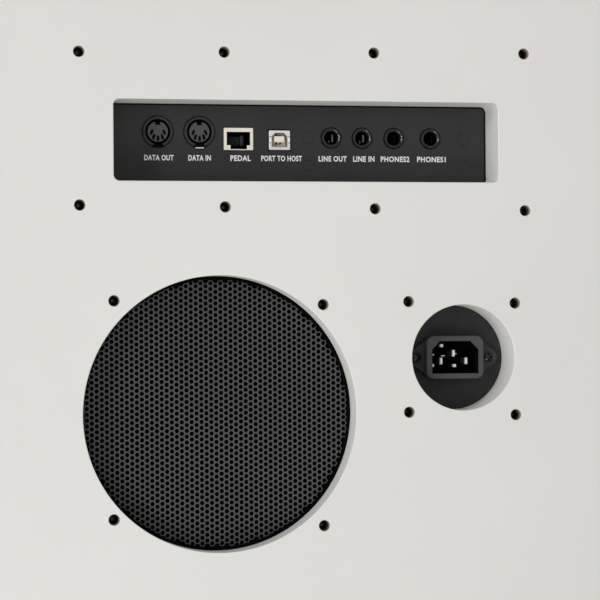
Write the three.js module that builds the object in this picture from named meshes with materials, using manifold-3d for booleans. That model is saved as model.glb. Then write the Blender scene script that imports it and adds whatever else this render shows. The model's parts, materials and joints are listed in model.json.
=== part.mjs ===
// Console digital piano on a panel stand.
// Millimetres, +Z up, +X to the player's right, the player sits at -Y.
// The origin is on the floor, in the middle of the outline.

import * as THREE from 'three';
import { mergeVertices } from 'three/addons/utils/BufferGeometryUtils.js';
import Module from 'manifold-3d';

const wasm = await Module();
wasm.setup();

// ---- Driving dimensions ----

// Gap left between two pieces that touch.
const GAP = 0.3;

// Outline of the whole instrument.
const HALF_WIDTH = 695;
const FRONT_Y = -230;
const BACK_Y = 230;

// Cabinet boards.
const SIDE_THICKNESS = 25;
const BACK_THICKNESS = 25;
const BED_THICKNESS = 18;
const TOP_THICKNESS = 20;
const CASE_BOTTOM_Z = 596;
const CASE_TOP_Z = 950;
const BACK_BOARD_BOTTOM_Z = 578;
const BACK_BOARD_SEAM_Z = 796;
const ARM_TOP_Z = 775;
const CONSOLE_FRONT_Y = -60;
const PANEL_TOP_Z = 782;
const PANEL_THICKNESS = 18;
const UPPER_PANEL_THICKNESS = 15;
const UPPER_PANEL_LEAN = 20;

// Keyboard: 52 naturals and 36 sharps.
const NATURAL_PITCH = 23.5;
const NATURAL_COUNT = 52;
const KEY_GAP = 0.9;
const KEY_FRONT_Y = -212;
const KEY_REAR_Y = 20;
const SHARP_FRONT_Y = -157;
const SHARP_WIDTH = 11;
const SHARP_SLOT = 12.6;
const KEY_TOP_Z = 727;
const KEY_BOTTOM_Z = 707;
const SHARP_RISE = 11.5;
const KEY_BRIDGE_Y = -40;
const FIRST_OCTAVE_NATURAL = 2;
const MIDDLE_OCTAVE = 3;

// Sliding fallboard over the keys.
const FALLBOARD_BOTTOM_Z = 746;
const FALLBOARD_THICKNESS = 12;
const FALLBOARD_REAR_Y = 112;

// Back board cut-outs, placed from each speaker's centre.
const SPEAKER_X = 430;
const SPEAKER_Z = 700;
const SPEAKER_HOLE_R = 72.9;
const GRILLE_R = 76;
const GRILLE_DEPTH = 15;
const RECESS_X = [278, 486];
const RECESS_Z = [822.2, 866.1];
const RECESS_CORNER_R = 2;
const TRAY_SCREW_X = 505.6;
const TRAY_SCREW_PITCH = 80.57;
const TRAY_SCREW_Z = [808.6, 891.5];
const INLET_X = 297.9;
const INLET_Z = 728.5;
const INLET_HOLE_R = 28.4;
const INLET_SCREW_HALF = 29.6;

// Sockets: the centre of each on the jack tray.
const DIN_OUT = { x: 459, z: 850.4 };
const DIN_IN = { x: 436.5, z: 850.4 };
const PEDAL_SOCKET = { x: 415.2, z: 846.8, width: 16, height: 12 };
const HOST_SOCKET = { x: 392.8, z: 846.4, width: 12, height: 11 };
const JACK_Z = 847.8;
const JACK_X = { line_out_jack: 364.2, line_in_jack: 347, phones_jack_2: 329.3, phones_jack_1: 308.8 };
const DIN_R = 8.5;
const JACK_NOSE_R = 5.45;
const JACK_BORE_R = 3.6;
const SHEET_THICKNESS = 2;

// Stand.
const FOOT_HEIGHT = 50;
const FOOT_WIDTH = 40;
const STAND_REAR_Y = 200;
const PEDAL_BOX_Y = [70, 150];
const PEDAL_BOX_Z = [FOOT_HEIGHT + 1, 141];
const PEDAL_SPACING = 70;
const PEDAL_POCKET = { half: 18, low: 64, high: 106, rear: 140 };
const PEDAL_Z = [80, 87];
const PEDAL_TIP_Y = -22;
const ADJUSTER_HOLE_R = 5;
const ADJUSTER_HOLE_TOP = 60;

// Controls on the panel.
const CONTROL_Y = -26;
const POWER_X = -590;
const KNOB_X = 590;
const FUNCTION_BUTTON_X = [-18, 18];
const BUTTON = { width: 18, depth: 9, proud: 1.6, body: 5 };
const BUTTON_POCKET_DEPTH = 8;

// ---- Derived places ----

const INNER_X = HALF_WIDTH - SIDE_THICKNESS - GAP;
const BOARD_INNER_Y = BACK_Y - BACK_THICKNESS;
const SHEET_Y = [BOARD_INNER_Y - GAP - SHEET_THICKNESS, BOARD_INNER_Y - GAP];
const BED_TOP_Z = CASE_BOTTOM_Z + BED_THICKNESS;
const LID_BOTTOM_Z = CASE_TOP_Z - TOP_THICKNESS;
const PANEL_BOTTOM_Z = PANEL_TOP_Z - PANEL_THICKNESS;
const KEYBOARD_LEFT_X = -NATURAL_PITCH * NATURAL_COUNT / 2;
const KEY_END_X = -KEYBOARD_LEFT_X + 1.5;
const RAIL_TOP_Z = FALLBOARD_BOTTOM_Z - 2;

// ---- Materials ----

function material(color, roughness, metalness = 0) {
  return new THREE.MeshStandardMaterial({ color, roughness, metalness });
}

const WHITE_PAINT = () => material(0xd8d7d3, 0.45);
const BLACK_PLASTIC = () => material(0x34363a, 0.6);
const BLACK_METAL = () => material(0x2a2b2d, 0.5, 0.4);
const IVORY_PLASTIC = () => material(0xf2efe6, 0.25);
const EBONY_PLASTIC = () => material(0x17171a, 0.45);
const BEIGE_PLASTIC = () => material(0xcfc4a8, 0.55);
const STEEL = () => material(0xb9bcc0, 0.35, 0.9);
const BRASS = () => material(0xc9a24a, 0.3, 0.9);
const GREEN_BOARD = () => material(0x1f5a3a, 0.6);
const MOULDED_GREY = () => material(0x6f7276, 0.6);

// ---- Shape helpers ----

function box(x, y, z) {
  const geometry = new THREE.BoxGeometry(x[1] - x[0], y[1] - y[0], z[1] - z[0]);
  return geometry.translate((x[0] + x[1]) / 2, (y[0] + y[1]) / 2, (z[0] + z[1]) / 2);
}

function outline(points) {
  return new THREE.Shape(points.map(([a, b]) => new THREE.Vector2(a, b)));
}

function extrude(shape, depth, segments) {
  return new THREE.ExtrudeGeometry(shape, { depth, bevelEnabled: false, curveSegments: segments });
}

// A (y, z) outline swept along X.
function sweepX(shape, x, segments = 6) {
  const axes = new THREE.Matrix4().makeBasis(
    new THREE.Vector3(0, 1, 0), new THREE.Vector3(0, 0, 1), new THREE.Vector3(1, 0, 0));
  return extrude(shape, x[1] - x[0], segments).applyMatrix4(axes).translate(x[0], 0, 0);
}

// An (x, z) outline swept along Y.
function sweepY(shape, y, segments = 6) {
  return extrude(shape, y[1] - y[0], segments).rotateX(Math.PI / 2).translate(0, y[1], 0);
}

// An (x, y) outline swept along Z.
function sweepZ(shape, z, segments = 6) {
  return extrude(shape, z[1] - z[0], segments).translate(0, 0, z[0]);
}

// A cylinder along Y, such as a hole's tool.
function cylinderY(x, z, radius, y, segments) {
  const geometry = new THREE.CylinderGeometry(radius, radius, y[1] - y[0], segments);
  return geometry.translate(x, (y[0] + y[1]) / 2, z);
}

// A cylinder along Z.
function cylinderZ(x, y, radius, z, segments) {
  const geometry = new THREE.CylinderGeometry(radius, radius, z[1] - z[0], segments);
  return geometry.rotateX(Math.PI / 2).translate(x, y, (z[0] + z[1]) / 2);
}

// A ring of (radius, y) points turned about an axis along Y.
function turnedY(profile, x, z, segments) {
  const points = profile.map(([radius, y]) => new THREE.Vector2(radius, y));
  return new THREE.LatheGeometry(points, segments).translate(x, 0, z);
}

function roundedRectangle(x, y, radius) {
  const shape = new THREE.Shape();
  shape.moveTo(x[0] + radius, y[0]);
  shape.lineTo(x[1] - radius, y[0]);
  shape.absarc(x[1] - radius, y[0] + radius, radius, -Math.PI / 2, 0);
  shape.lineTo(x[1], y[1] - radius);
  shape.absarc(x[1] - radius, y[1] - radius, radius, 0, Math.PI / 2);
  shape.lineTo(x[0] + radius, y[1]);
  shape.absarc(x[0] + radius, y[1] - radius, radius, Math.PI / 2, Math.PI);
  shape.lineTo(x[0], y[0] + radius);
  shape.absarc(x[0] + radius, y[0] + radius, radius, Math.PI, 1.5 * Math.PI);
  return shape;
}

// ---- Joining and cutting ----

function solid(geometry) {
  const bare = geometry.clone();
  bare.deleteAttribute('normal');
  bare.deleteAttribute('uv');
  const merged = mergeVertices(bare, 1e-4);
  return new wasm.Manifold(new wasm.Mesh({
    numProp: 3,
    vertProperties: new Float32Array(merged.attributes.position.array),
    triVerts: new Uint32Array(merged.index.array),
  }));
}

function surface(body) {
  const mesh = body.getMesh();
  const geometry = new THREE.BufferGeometry();
  geometry.setAttribute('position', new THREE.BufferAttribute(mesh.vertProperties, 3));
  geometry.setIndex(new THREE.BufferAttribute(mesh.triVerts, 1));
  return geometry;
}

function joined(geometries) {
  return geometries.map(solid).reduce((whole, piece) => whole.add(piece));
}

function cut(whole, tools) {
  return tools.map(solid).reduce((rest, tool) => rest.subtract(tool), whole);
}

// ---- The assembly ----

const group = new THREE.Group();

function part(name, geometry, look) {
  const mesh = new THREE.Mesh(geometry, look());
  mesh.name = name;
  group.add(mesh);
}

// One side's x span, outermost board first: side is -1 for left, 1 for right.
function sideSpan(side, inner, outer) {
  return side < 0 ? [-outer, -inner] : [inner, outer];
}

const SIDES = [['left', -1], ['right', 1]];

// ---- Cabinet ----

function caseSideOutline() {
  const corner = 26;
  const shape = new THREE.Shape();
  shape.moveTo(BACK_Y, CASE_BOTTOM_Z);
  shape.lineTo(BACK_Y, LID_BOTTOM_Z - GAP);
  shape.lineTo(12, LID_BOTTOM_Z - GAP);
  shape.quadraticCurveTo(-8, PANEL_TOP_Z + 45, CONSOLE_FRONT_Y + 4, ARM_TOP_Z);
  shape.lineTo(FRONT_Y + corner, ARM_TOP_Z);
  shape.absarc(FRONT_Y + corner, ARM_TOP_Z - corner, corner, Math.PI / 2, Math.PI);
  shape.lineTo(FRONT_Y, CASE_BOTTOM_Z);
  return shape;
}

function addCabinet() {
  for (const [word, side] of SIDES) {
    const span = sideSpan(side, HALF_WIDTH - SIDE_THICKNESS, HALF_WIDTH);
    part(`case_side_${word}`, sweepX(caseSideOutline(), span, 8), WHITE_PAINT);
  }
  const across = [-INNER_X, INNER_X];
  const bedFront = FRONT_Y + 15 + GAP;
  const bed = box(across, [bedFront, BOARD_INNER_Y - GAP], [CASE_BOTTOM_Z, BED_TOP_Z]);
  part('case_bottom', bed, WHITE_PAINT);
  const lid = box([-HALF_WIDTH, HALF_WIDTH], [10, BACK_Y], [LID_BOTTOM_Z, CASE_TOP_Z]);
  part('case_top', lid, WHITE_PAINT);
  part('upper_panel', sweepX(upperPanelOutline(), across), WHITE_PAINT);
  const slip = box(across, [FRONT_Y, FRONT_Y + 15], [CASE_BOTTOM_Z, KEY_BOTTOM_Z + 9]);
  part('key_slip', slip, WHITE_PAINT);
  part('control_panel', surface(controlPanel(across)), WHITE_PAINT);
  addBackBoards();
}

function upperPanelOutline() {
  const front = 10;
  const top = LID_BOTTOM_Z - GAP;
  return outline([
    [front, PANEL_BOTTOM_Z],
    [front + UPPER_PANEL_THICKNESS, PANEL_BOTTOM_Z],
    [front + UPPER_PANEL_THICKNESS + UPPER_PANEL_LEAN, top],
    [front + UPPER_PANEL_LEAN, top],
  ]);
}

// The panel that carries the knob and the buttons, with a bevel on its front edge.
function controlPanel(across) {
  const rear = 10 - GAP;
  const bevel = 8;
  const slab = sweepX(outline([
    [CONSOLE_FRONT_Y, PANEL_BOTTOM_Z],
    [rear, PANEL_BOTTOM_Z],
    [rear, PANEL_TOP_Z],
    [CONSOLE_FRONT_Y + bevel, PANEL_TOP_Z],
    [CONSOLE_FRONT_Y, PANEL_TOP_Z - bevel],
  ]), across);
  const pocketZ = [PANEL_TOP_Z - BUTTON_POCKET_DEPTH, PANEL_TOP_Z + 1];
  const pockets = [POWER_X, ...FUNCTION_BUTTON_X].map((x) => box(
    [x - BUTTON.width / 2 - GAP, x + BUTTON.width / 2 + GAP],
    [CONTROL_Y - BUTTON.depth / 2 - GAP, CONTROL_Y + BUTTON.depth / 2 + GAP],
    pocketZ));
  const shaftHole = cylinderZ(KNOB_X, CONTROL_Y, 3.5, [PANEL_BOTTOM_Z + 4, PANEL_TOP_Z + 1], 16);
  return cut(solid(slab), [...pockets, shaftHole]);
}

function backCutOuts() {
  const through = [BOARD_INNER_Y - 1, BACK_Y + 1];
  const rebate = [BOARD_INNER_Y - 1, BACK_Y - GRILLE_DEPTH];
  const tools = [
    sweepY(roundedRectangle(RECESS_X, RECESS_Z, RECESS_CORNER_R), through, 3),
    cylinderY(INLET_X, INLET_Z, INLET_HOLE_R, through, 32),
  ];
  for (const [, side] of SIDES) {
    tools.push(cylinderY(side * SPEAKER_X, SPEAKER_Z, SPEAKER_HOLE_R, through, 48));
    tools.push(cylinderY(side * SPEAKER_X, SPEAKER_Z, GRILLE_R + GAP, rebate, 48));
  }
  return tools;
}

// The back is three boards: one across the top with the socket recess, two below with the speakers.
function addBackBoards() {
  const seam = GAP / 2;
  const upperZ = [BACK_BOARD_SEAM_Z + seam, LID_BOTTOM_Z - GAP];
  const lowerZ = [BACK_BOARD_BOTTOM_Z, BACK_BOARD_SEAM_Z - seam];
  const boards = {
    back_board_upper: [[-INNER_X, INNER_X], upperZ],
    back_board_left: [[-INNER_X, -seam], lowerZ],
    back_board_right: [[seam, INNER_X], lowerZ],
  };
  for (const [name, [x, z]] of Object.entries(boards)) {
    const board = solid(box(x, [BOARD_INNER_Y, BACK_Y], z));
    part(name, surface(cut(board, backCutOuts())), WHITE_PAINT);
  }
}

// ---- Keyboard ----

// Sharps of one octave: the natural to their left, their shift from the line between two naturals.
const SHARPS = [
  { name: 'c', after: 0, shift: -1.9 },
  { name: 'd', after: 1, shift: 1.9 },
  { name: 'f', after: 3, shift: -2.7 },
  { name: 'g', after: 4, shift: 0 },
  { name: 'a', after: 5, shift: 2.7 },
];
const NATURAL_NAMES = ['c', 'd', 'e', 'f', 'g', 'a', 'b'];

function naturalLeftX(index) {
  return KEYBOARD_LEFT_X + index * NATURAL_PITCH;
}

// The sharp to the right of a natural, or undefined where two naturals meet.
function sharpAfter(index) {
  if (index < 0 || index >= NATURAL_COUNT - 1) {
    return undefined;
  }
  const place = (index - FIRST_OCTAVE_NATURAL + 7) % 7;
  return SHARPS.find((sharp) => sharp.after === place);
}

function sharpCentreX(index) {
  return naturalLeftX(index + 1) + sharpAfter(index).shift;
}

function naturalKey(index) {
  const left = naturalLeftX(index) + KEY_GAP / 2;
  const right = naturalLeftX(index + 1) - KEY_GAP / 2;
  const notchY = SHARP_FRONT_Y - 1.5;
  const rearRight = sharpAfter(index) ? sharpCentreX(index) - SHARP_SLOT / 2 : right;
  const rearLeft = sharpAfter(index - 1) ? sharpCentreX(index - 1) + SHARP_SLOT / 2 : left;
  const points = [[left, KEY_FRONT_Y], [right, KEY_FRONT_Y]];
  if (rearRight < right) {
    points.push([right, notchY], [rearRight, notchY]);
  }
  points.push([rearRight, KEY_REAR_Y], [rearLeft, KEY_REAR_Y]);
  if (rearLeft > left) {
    points.push([rearLeft, notchY], [left, notchY]);
  }
  return sweepZ(outline(points), [KEY_BOTTOM_Z, KEY_TOP_Z]);
}

function sharpKey(index) {
  const centre = sharpCentreX(index);
  const top = KEY_TOP_Z + SHARP_RISE;
  const profile = outline([
    [SHARP_FRONT_Y, KEY_BOTTOM_Z],
    [KEY_REAR_Y, KEY_BOTTOM_Z],
    [KEY_REAR_Y, KEY_TOP_Z],
    [CONSOLE_FRONT_Y, KEY_TOP_Z],
    [CONSOLE_FRONT_Y, top],
    [SHARP_FRONT_Y + 5, top],
    [SHARP_FRONT_Y, KEY_TOP_Z],
  ]);
  return sweepX(profile, [centre - SHARP_WIDTH / 2, centre + SHARP_WIDTH / 2]);
}

// A run of naturals and the sharps between them, bridged where the console hides them.
function keyBank(first, last) {
  const keys = [];
  for (let index = first; index <= last; index += 1) {
    keys.push(naturalKey(index));
    if (index < last && sharpAfter(index)) {
      keys.push(sharpKey(index));
    }
  }
  const ends = [naturalLeftX(first) + KEY_GAP / 2, naturalLeftX(last + 1) - KEY_GAP / 2];
  keys.push(box(ends, [KEY_BRIDGE_Y, KEY_REAR_Y], [KEY_BOTTOM_Z, KEY_TOP_Z]));
  return surface(joined(keys));
}

function addKeyboard() {
  const middleC = FIRST_OCTAVE_NATURAL + 7 * MIDDLE_OCTAVE;
  part('bass_keys', keyBank(0, middleC - 1), IVORY_PLASTIC);
  NATURAL_NAMES.forEach((name, step) => {
    part(`key_${name}4`, naturalKey(middleC + step), IVORY_PLASTIC);
  });
  for (const sharp of SHARPS) {
    part(`key_${sharp.name}4_sharp`, sharpKey(middleC + sharp.after), EBONY_PLASTIC);
  }
  part('treble_keys', keyBank(middleC + 7, NATURAL_COUNT - 1), IVORY_PLASTIC);
  part('key_frame', sweepX(keyFrameOutline(), [KEYBOARD_LEFT_X + 3, -KEYBOARD_LEFT_X - 3]), MOULDED_GREY);
  for (const [word, side] of SIDES) {
    const span = sideSpan(side, KEY_END_X, INNER_X);
    const block = box(span, [FRONT_Y + 15 + GAP, FALLBOARD_REAR_Y + 13], [BED_TOP_Z + GAP, RAIL_TOP_Z]);
    part(`cheek_${word}`, block, WHITE_PAINT);
  }
}

// The chassis under the keys, with its raised pivot rail behind them.
function keyFrameOutline() {
  const rail = KEY_REAR_Y + 5;
  return outline([
    [KEY_FRONT_Y + 7, BED_TOP_Z + GAP],
    [rail + 35, BED_TOP_Z + GAP],
    [rail + 35, KEY_TOP_Z + 8],
    [rail, KEY_TOP_Z + 8],
    [rail, KEY_BOTTOM_Z - 12],
    [KEY_FRONT_Y + 7, KEY_BOTTOM_Z - 17],
  ]);
}

// ---- Fallboard, music rest and controls ----

function addFallboard() {
  const top = FALLBOARD_BOTTOM_Z + FALLBOARD_THICKNESS;
  const lipRear = CONSOLE_FRONT_Y - 1;
  const profile = outline([
    [lipRear - 11, FALLBOARD_BOTTOM_Z - 1],
    [lipRear, FALLBOARD_BOTTOM_Z - 1],
    [lipRear, FALLBOARD_BOTTOM_Z],
    [FALLBOARD_REAR_Y, FALLBOARD_BOTTOM_Z],
    [FALLBOARD_REAR_Y, top],
    [lipRear, top],
    [lipRear, top + 5],
    [lipRear - 7, top + 5],
    [lipRear - 11, top],
  ]);
  part('fallboard', sweepX(profile, [-INNER_X + 1, INNER_X - 1]), WHITE_PAINT);
}

// A leaning desk with a ledge for the sheets, hinged on the lid.
function addMusicRest() {
  const half = 4.5;
  const profile = outline([
    [-half - 20, -4],
    [half, -4],
    [half, 188],
    [-half, 188],
    [-half, 4],
    [-half - 18, 4],
    [-half - 18, 8],
    [-half - 20, 8],
  ]);
  const lean = THREE.MathUtils.degToRad(20);
  const geometry = sweepX(profile, [-330, 330]).rotateX(-lean).translate(0, 35, 957);
  part('music_rest', geometry, WHITE_PAINT);
}

function button(x) {
  const z = [PANEL_TOP_Z - BUTTON.body, PANEL_TOP_Z + BUTTON.proud];
  return box(
    [x - BUTTON.width / 2, x + BUTTON.width / 2],
    [CONTROL_Y - BUTTON.depth / 2, CONTROL_Y + BUTTON.depth / 2],
    z);
}

function addControls() {
  part('power_button', button(POWER_X), BLACK_PLASTIC);
  FUNCTION_BUTTON_X.forEach((x, place) => {
    part(`function_button_${place + 1}`, button(x), BLACK_PLASTIC);
  });
  const base = PANEL_TOP_Z + 0.6;
  const profile = [
    [0, base - 12],
    [3, base - 12],
    [3, base],
    [13, base],
    [13, base + 2],
    [11.5, base + 3],
    [10.5, base + 14],
    [9.5, base + 15],
    [0, base + 15],
  ];
  const knob = new THREE.LatheGeometry(profile.map(([r, z]) => new THREE.Vector2(r, z)), 24);
  part('volume_knob', knob.rotateX(Math.PI / 2).translate(KNOB_X, CONTROL_Y, 0), BLACK_PLASTIC);
}

// ---- Sockets ----

function addJackTray() {
  const x = [TRAY_SCREW_X - 3 * TRAY_SCREW_PITCH - 8, TRAY_SCREW_X + 8];
  const z = [TRAY_SCREW_Z[0] - 8, TRAY_SCREW_Z[1] + 8];
  const through = [SHEET_Y[0] - 1, SHEET_Y[1] + 1];
  const tools = [
    cylinderY(DIN_OUT.x, DIN_OUT.z, DIN_R + GAP, through, 24),
    cylinderY(DIN_IN.x, DIN_IN.z, DIN_R + GAP, through, 24),
    window(PEDAL_SOCKET, through),
    window(HOST_SOCKET, through),
  ];
  for (const jackX of Object.values(JACK_X)) {
    tools.push(cylinderY(jackX, JACK_Z, JACK_NOSE_R + GAP, through, 20));
  }
  part('jack_tray', surface(cut(solid(box(x, SHEET_Y, z)), tools)), BLACK_PLASTIC);
}

function window(socket, y) {
  return box(
    [socket.x - socket.width / 2 - GAP, socket.x + socket.width / 2 + GAP],
    y,
    [socket.z - socket.height / 2 - GAP, socket.z + socket.height / 2 + GAP]);
}

// A five-pin round socket: a shell, the ring that the plug's collar enters, and the pin block.
function addDinSocket(name, place) {
  const face = SHEET_Y[1] + 1;
  const profile = [
    [0, face - 16],
    [DIN_R, face - 16],
    [DIN_R, face],
    [6.9, face],
    [6.9, face - 9],
    [5.5, face - 9],
    [5.5, face - 1.2],
    [0, face - 1.2],
  ];
  part(name, turnedY(profile, place.x, place.z, 24), BLACK_PLASTIC);
}

function shell(socket, rear, wall, floorY) {
  const face = SHEET_Y[1] + 0.8;
  const halfW = socket.width / 2;
  const halfH = socket.height / 2;
  const outer = box([socket.x - halfW, socket.x + halfW], [rear, face], [socket.z - halfH, socket.z + halfH]);
  const cavity = box(
    [socket.x - halfW + wall, socket.x + halfW - wall],
    [floorY, face + 1],
    [socket.z - halfH + wall, socket.z + halfH - wall]);
  return cut(solid(outer), [cavity]);
}

function addBoxSockets() {
  const face = SHEET_Y[1] + 0.8;
  part('pedal_socket', surface(shell(PEDAL_SOCKET, face - 19, 1.9, face - 14)), BEIGE_PLASTIC);
  const tongue = solid(box(
    [HOST_SOCKET.x - 2.8, HOST_SOCKET.x + 2.8],
    [face - 12, face - 2],
    [HOST_SOCKET.z - 1.6, HOST_SOCKET.z + 1.6]));
  part('host_socket', surface(shell(HOST_SOCKET, face - 16, 1.6, face - 11).add(tongue)), STEEL);
}

function addJacks() {
  const face = SHEET_Y[1] + 0.9;
  for (const [name, x] of Object.entries(JACK_X)) {
    const rear = SHEET_Y[0] - GAP;
    const body = box([x - 7, x + 7], [rear - 26, rear], [JACK_Z - 6.8, JACK_Z + 7]);
    const nose = cylinderY(x, JACK_Z, JACK_NOSE_R, [rear - 1, face], 20);
    const bore = cylinderY(x, JACK_Z, JACK_BORE_R, [rear - 24, face + 1], 16);
    part(name, surface(cut(joined([body, nose]), [bore])), BLACK_PLASTIC);
  }
  const board = box([298, 470], [SHEET_Y[0] - 50, SHEET_Y[0] - 3], [838.4, 840]);
  part('jack_board', board, GREEN_BOARD);
}

// ---- Mains inlet ----

const INLET_SHROUD = { width: 32, height: 23.4, depth: 8 };
const INLET_BODY = { width: 28.6, height: 20.4, depth: 24 };
const INLET_CAVITY = { width: 25.4, height: 17.4, chamfer: 4.5, depth: 16 };
const INLET_EAR = { reach: 25.5, half: 4.5 };

function inletCavityOutline() {
  const w = INLET_CAVITY.width / 2;
  const h = INLET_CAVITY.height / 2;
  const c = INLET_CAVITY.chamfer;
  return outline([
    [INLET_X - w, INLET_Z - h],
    [INLET_X + w, INLET_Z - h],
    [INLET_X + w, INLET_Z + h - c],
    [INLET_X + w - c, INLET_Z + h],
    [INLET_X - w + c, INLET_Z + h],
    [INLET_X - w, INLET_Z + h - c],
  ]);
}

function addInlet() {
  const plateHalf = INLET_SCREW_HALF + 7;
  const plate = box([INLET_X - plateHalf, INLET_X + plateHalf], SHEET_Y, [INLET_Z - plateHalf, INLET_Z + plateHalf]);
  const body = { x: INLET_X, z: INLET_Z, width: INLET_BODY.width, height: INLET_BODY.height };
  const hole = window(body, [SHEET_Y[0] - 1, SHEET_Y[1] + 1]);
  part('inlet_plate', surface(cut(solid(plate), [hole])), BLACK_METAL);

  const base = SHEET_Y[1] + GAP;
  const front = base + INLET_SHROUD.depth;
  const across = [INLET_X - INLET_SHROUD.width / 2, INLET_X + INLET_SHROUD.width / 2];
  const up = [INLET_Z - INLET_SHROUD.height / 2, INLET_Z + INLET_SHROUD.height / 2];
  const shroud = sweepY(roundedRectangle(across, up, 4), [base, front], 4);
  const ears = sweepY(outline([
    [INLET_X - INLET_EAR.reach, INLET_Z - INLET_EAR.half],
    [across[0] + 2, up[0] + 1],
    [across[1] - 2, up[0] + 1],
    [INLET_X + INLET_EAR.reach, INLET_Z - INLET_EAR.half],
    [INLET_X + INLET_EAR.reach, INLET_Z + INLET_EAR.half],
    [across[1] - 2, up[1] - 1],
    [across[0] + 2, up[1] - 1],
    [INLET_X - INLET_EAR.reach, INLET_Z + INLET_EAR.half],
  ]), [base, base + 3]);
  const neck = box(
    [INLET_X - INLET_BODY.width / 2, INLET_X + INLET_BODY.width / 2],
    [base - INLET_BODY.depth, base + 1],
    [INLET_Z - INLET_BODY.height / 2, INLET_Z + INLET_BODY.height / 2]);
  const cavity = sweepY(inletCavityOutline(), [front - INLET_CAVITY.depth, front + 1]);
  const hollow = cut(joined([shroud, ears, neck]), [cavity]);
  const blades = [[-7, -2], [7, -2], [0, 2.5]].map(([dx, dz]) => solid(box(
    [INLET_X + dx - 1, INLET_X + dx + 1],
    [front - INLET_CAVITY.depth - 1, front - 3],
    [INLET_Z + dz - 2, INLET_Z + dz + 2])));
  part('mains_inlet', surface(blades.reduce((whole, blade) => whole.add(blade), hollow)), BLACK_PLASTIC);
}

// ---- Speakers and electronics ----

function addSpeaker(word, side) {
  const outer = BACK_Y - GRILLE_DEPTH - GAP;
  const grille = cylinderY(side * SPEAKER_X, SPEAKER_Z, GRILLE_R, [outer - SHEET_THICKNESS, outer], 48);
  part(`grille_${word}`, grille, BLACK_METAL);
  const flange = BOARD_INNER_Y - GAP;
  const driver = [
    [0, flange - 68],
    [45, flange - 68],
    [45, flange - 40],
    [38, flange - 40],
    [70, flange - 4],
    [85, flange - 4],
    [85, flange],
    [70, flange],
    [66, flange - 3],
    [60, flange],
    [54, flange - 4],
    [18, flange - 24],
    [0, flange - 17],
  ];
  part(`woofer_${word}`, turnedY(driver, side * SPEAKER_X, SPEAKER_Z, 36), BLACK_METAL);
}

// The main circuit board on four posts that stand on the key bed, with its shielded power supply.
function addElectronics() {
  const x = [-200, 200];
  const y = [80, 180];
  const z = [BED_TOP_Z + 10, BED_TOP_Z + 12];
  const pieces = [box(x, y, z), box([80, 190], [90, 170], [z[1] - 1, z[1] + 28])];
  for (const postX of [x[0] + 8, x[1] - 8]) {
    for (const postY of [y[0] + 8, y[1] - 8]) {
      pieces.push(cylinderZ(postX, postY, 3, [BED_TOP_Z + GAP, z[0] + 1], 8));
    }
  }
  part('main_board', surface(joined(pieces)), GREEN_BOARD);
}

// ---- Stand and pedals ----

function standSideOutline() {
  const foot = FOOT_HEIGHT + GAP;
  const top = CASE_BOTTOM_Z - GAP;
  const shape = new THREE.Shape();
  shape.moveTo(STAND_REAR_Y, foot);
  shape.lineTo(STAND_REAR_Y, top);
  shape.lineTo(-150, top);
  shape.lineTo(-150, top - 25);
  shape.quadraticCurveTo(-20, top - 60, -20, top - 230);
  shape.lineTo(-20, foot);
  return shape;
}

function standFootOutline() {
  const shape = new THREE.Shape();
  shape.moveTo(BACK_Y - 4, 0);
  shape.lineTo(BACK_Y - 4, FOOT_HEIGHT - 8);
  shape.quadraticCurveTo(BACK_Y - 4, FOOT_HEIGHT, BACK_Y - 12, FOOT_HEIGHT);
  shape.lineTo(-30, FOOT_HEIGHT);
  shape.quadraticCurveTo(-130, FOOT_HEIGHT, FRONT_Y + 12, 28);
  shape.quadraticCurveTo(FRONT_Y + 3, 25, FRONT_Y + 3, 14);
  shape.lineTo(FRONT_Y + 3, 0);
  return shape;
}

function addStand() {
  for (const [word, side] of SIDES) {
    const board = sideSpan(side, HALF_WIDTH - SIDE_THICKNESS, HALF_WIDTH);
    const foot = sideSpan(side, HALF_WIDTH - FOOT_WIDTH, HALF_WIDTH);
    part(`stand_side_${word}`, sweepX(standSideOutline(), board, 10), WHITE_PAINT);
    part(`stand_foot_${word}`, sweepX(standFootOutline(), foot, 6), WHITE_PAINT);
  }
  const across = [-INNER_X, INNER_X];
  part('stand_back_panel', box(across, [STAND_REAR_Y - 25, STAND_REAR_Y - 10], [200, 570]), WHITE_PAINT);
}

function addPedals() {
  const body = solid(box([-INNER_X, INNER_X], PEDAL_BOX_Y, PEDAL_BOX_Z));
  const places = [['left', -PEDAL_SPACING], ['middle', 0], ['right', PEDAL_SPACING]];
  const pockets = places.map(([, x]) => box(
    [x - PEDAL_POCKET.half, x + PEDAL_POCKET.half],
    [PEDAL_BOX_Y[0] - 1, PEDAL_POCKET.rear],
    [PEDAL_POCKET.low, PEDAL_POCKET.high]));
  const socket = cylinderZ(0, 110, ADJUSTER_HOLE_R, [PEDAL_BOX_Z[0] - 1, ADJUSTER_HOLE_TOP], 12);
  part('pedal_box', surface(cut(body, [...pockets, socket])), WHITE_PAINT);
  for (const [word, x] of places) {
    part(`pedal_${word}`, pedal(x), BRASS);
  }
  const foot = [
    [0, 0],
    [15, 0],
    [16, 3],
    [16, 9],
    [12, 12],
    [ADJUSTER_HOLE_R - 0.5, 12],
    [ADJUSTER_HOLE_R - 0.5, ADJUSTER_HOLE_TOP - 2],
    [0, ADJUSTER_HOLE_TOP - 2],
  ];
  const turned = new THREE.LatheGeometry(foot.map(([r, z]) => new THREE.Vector2(r, z)), 16);
  part('pedal_box_adjuster', turned.rotateX(Math.PI / 2).translate(0, 110, 0), BLACK_PLASTIC);
}

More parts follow.
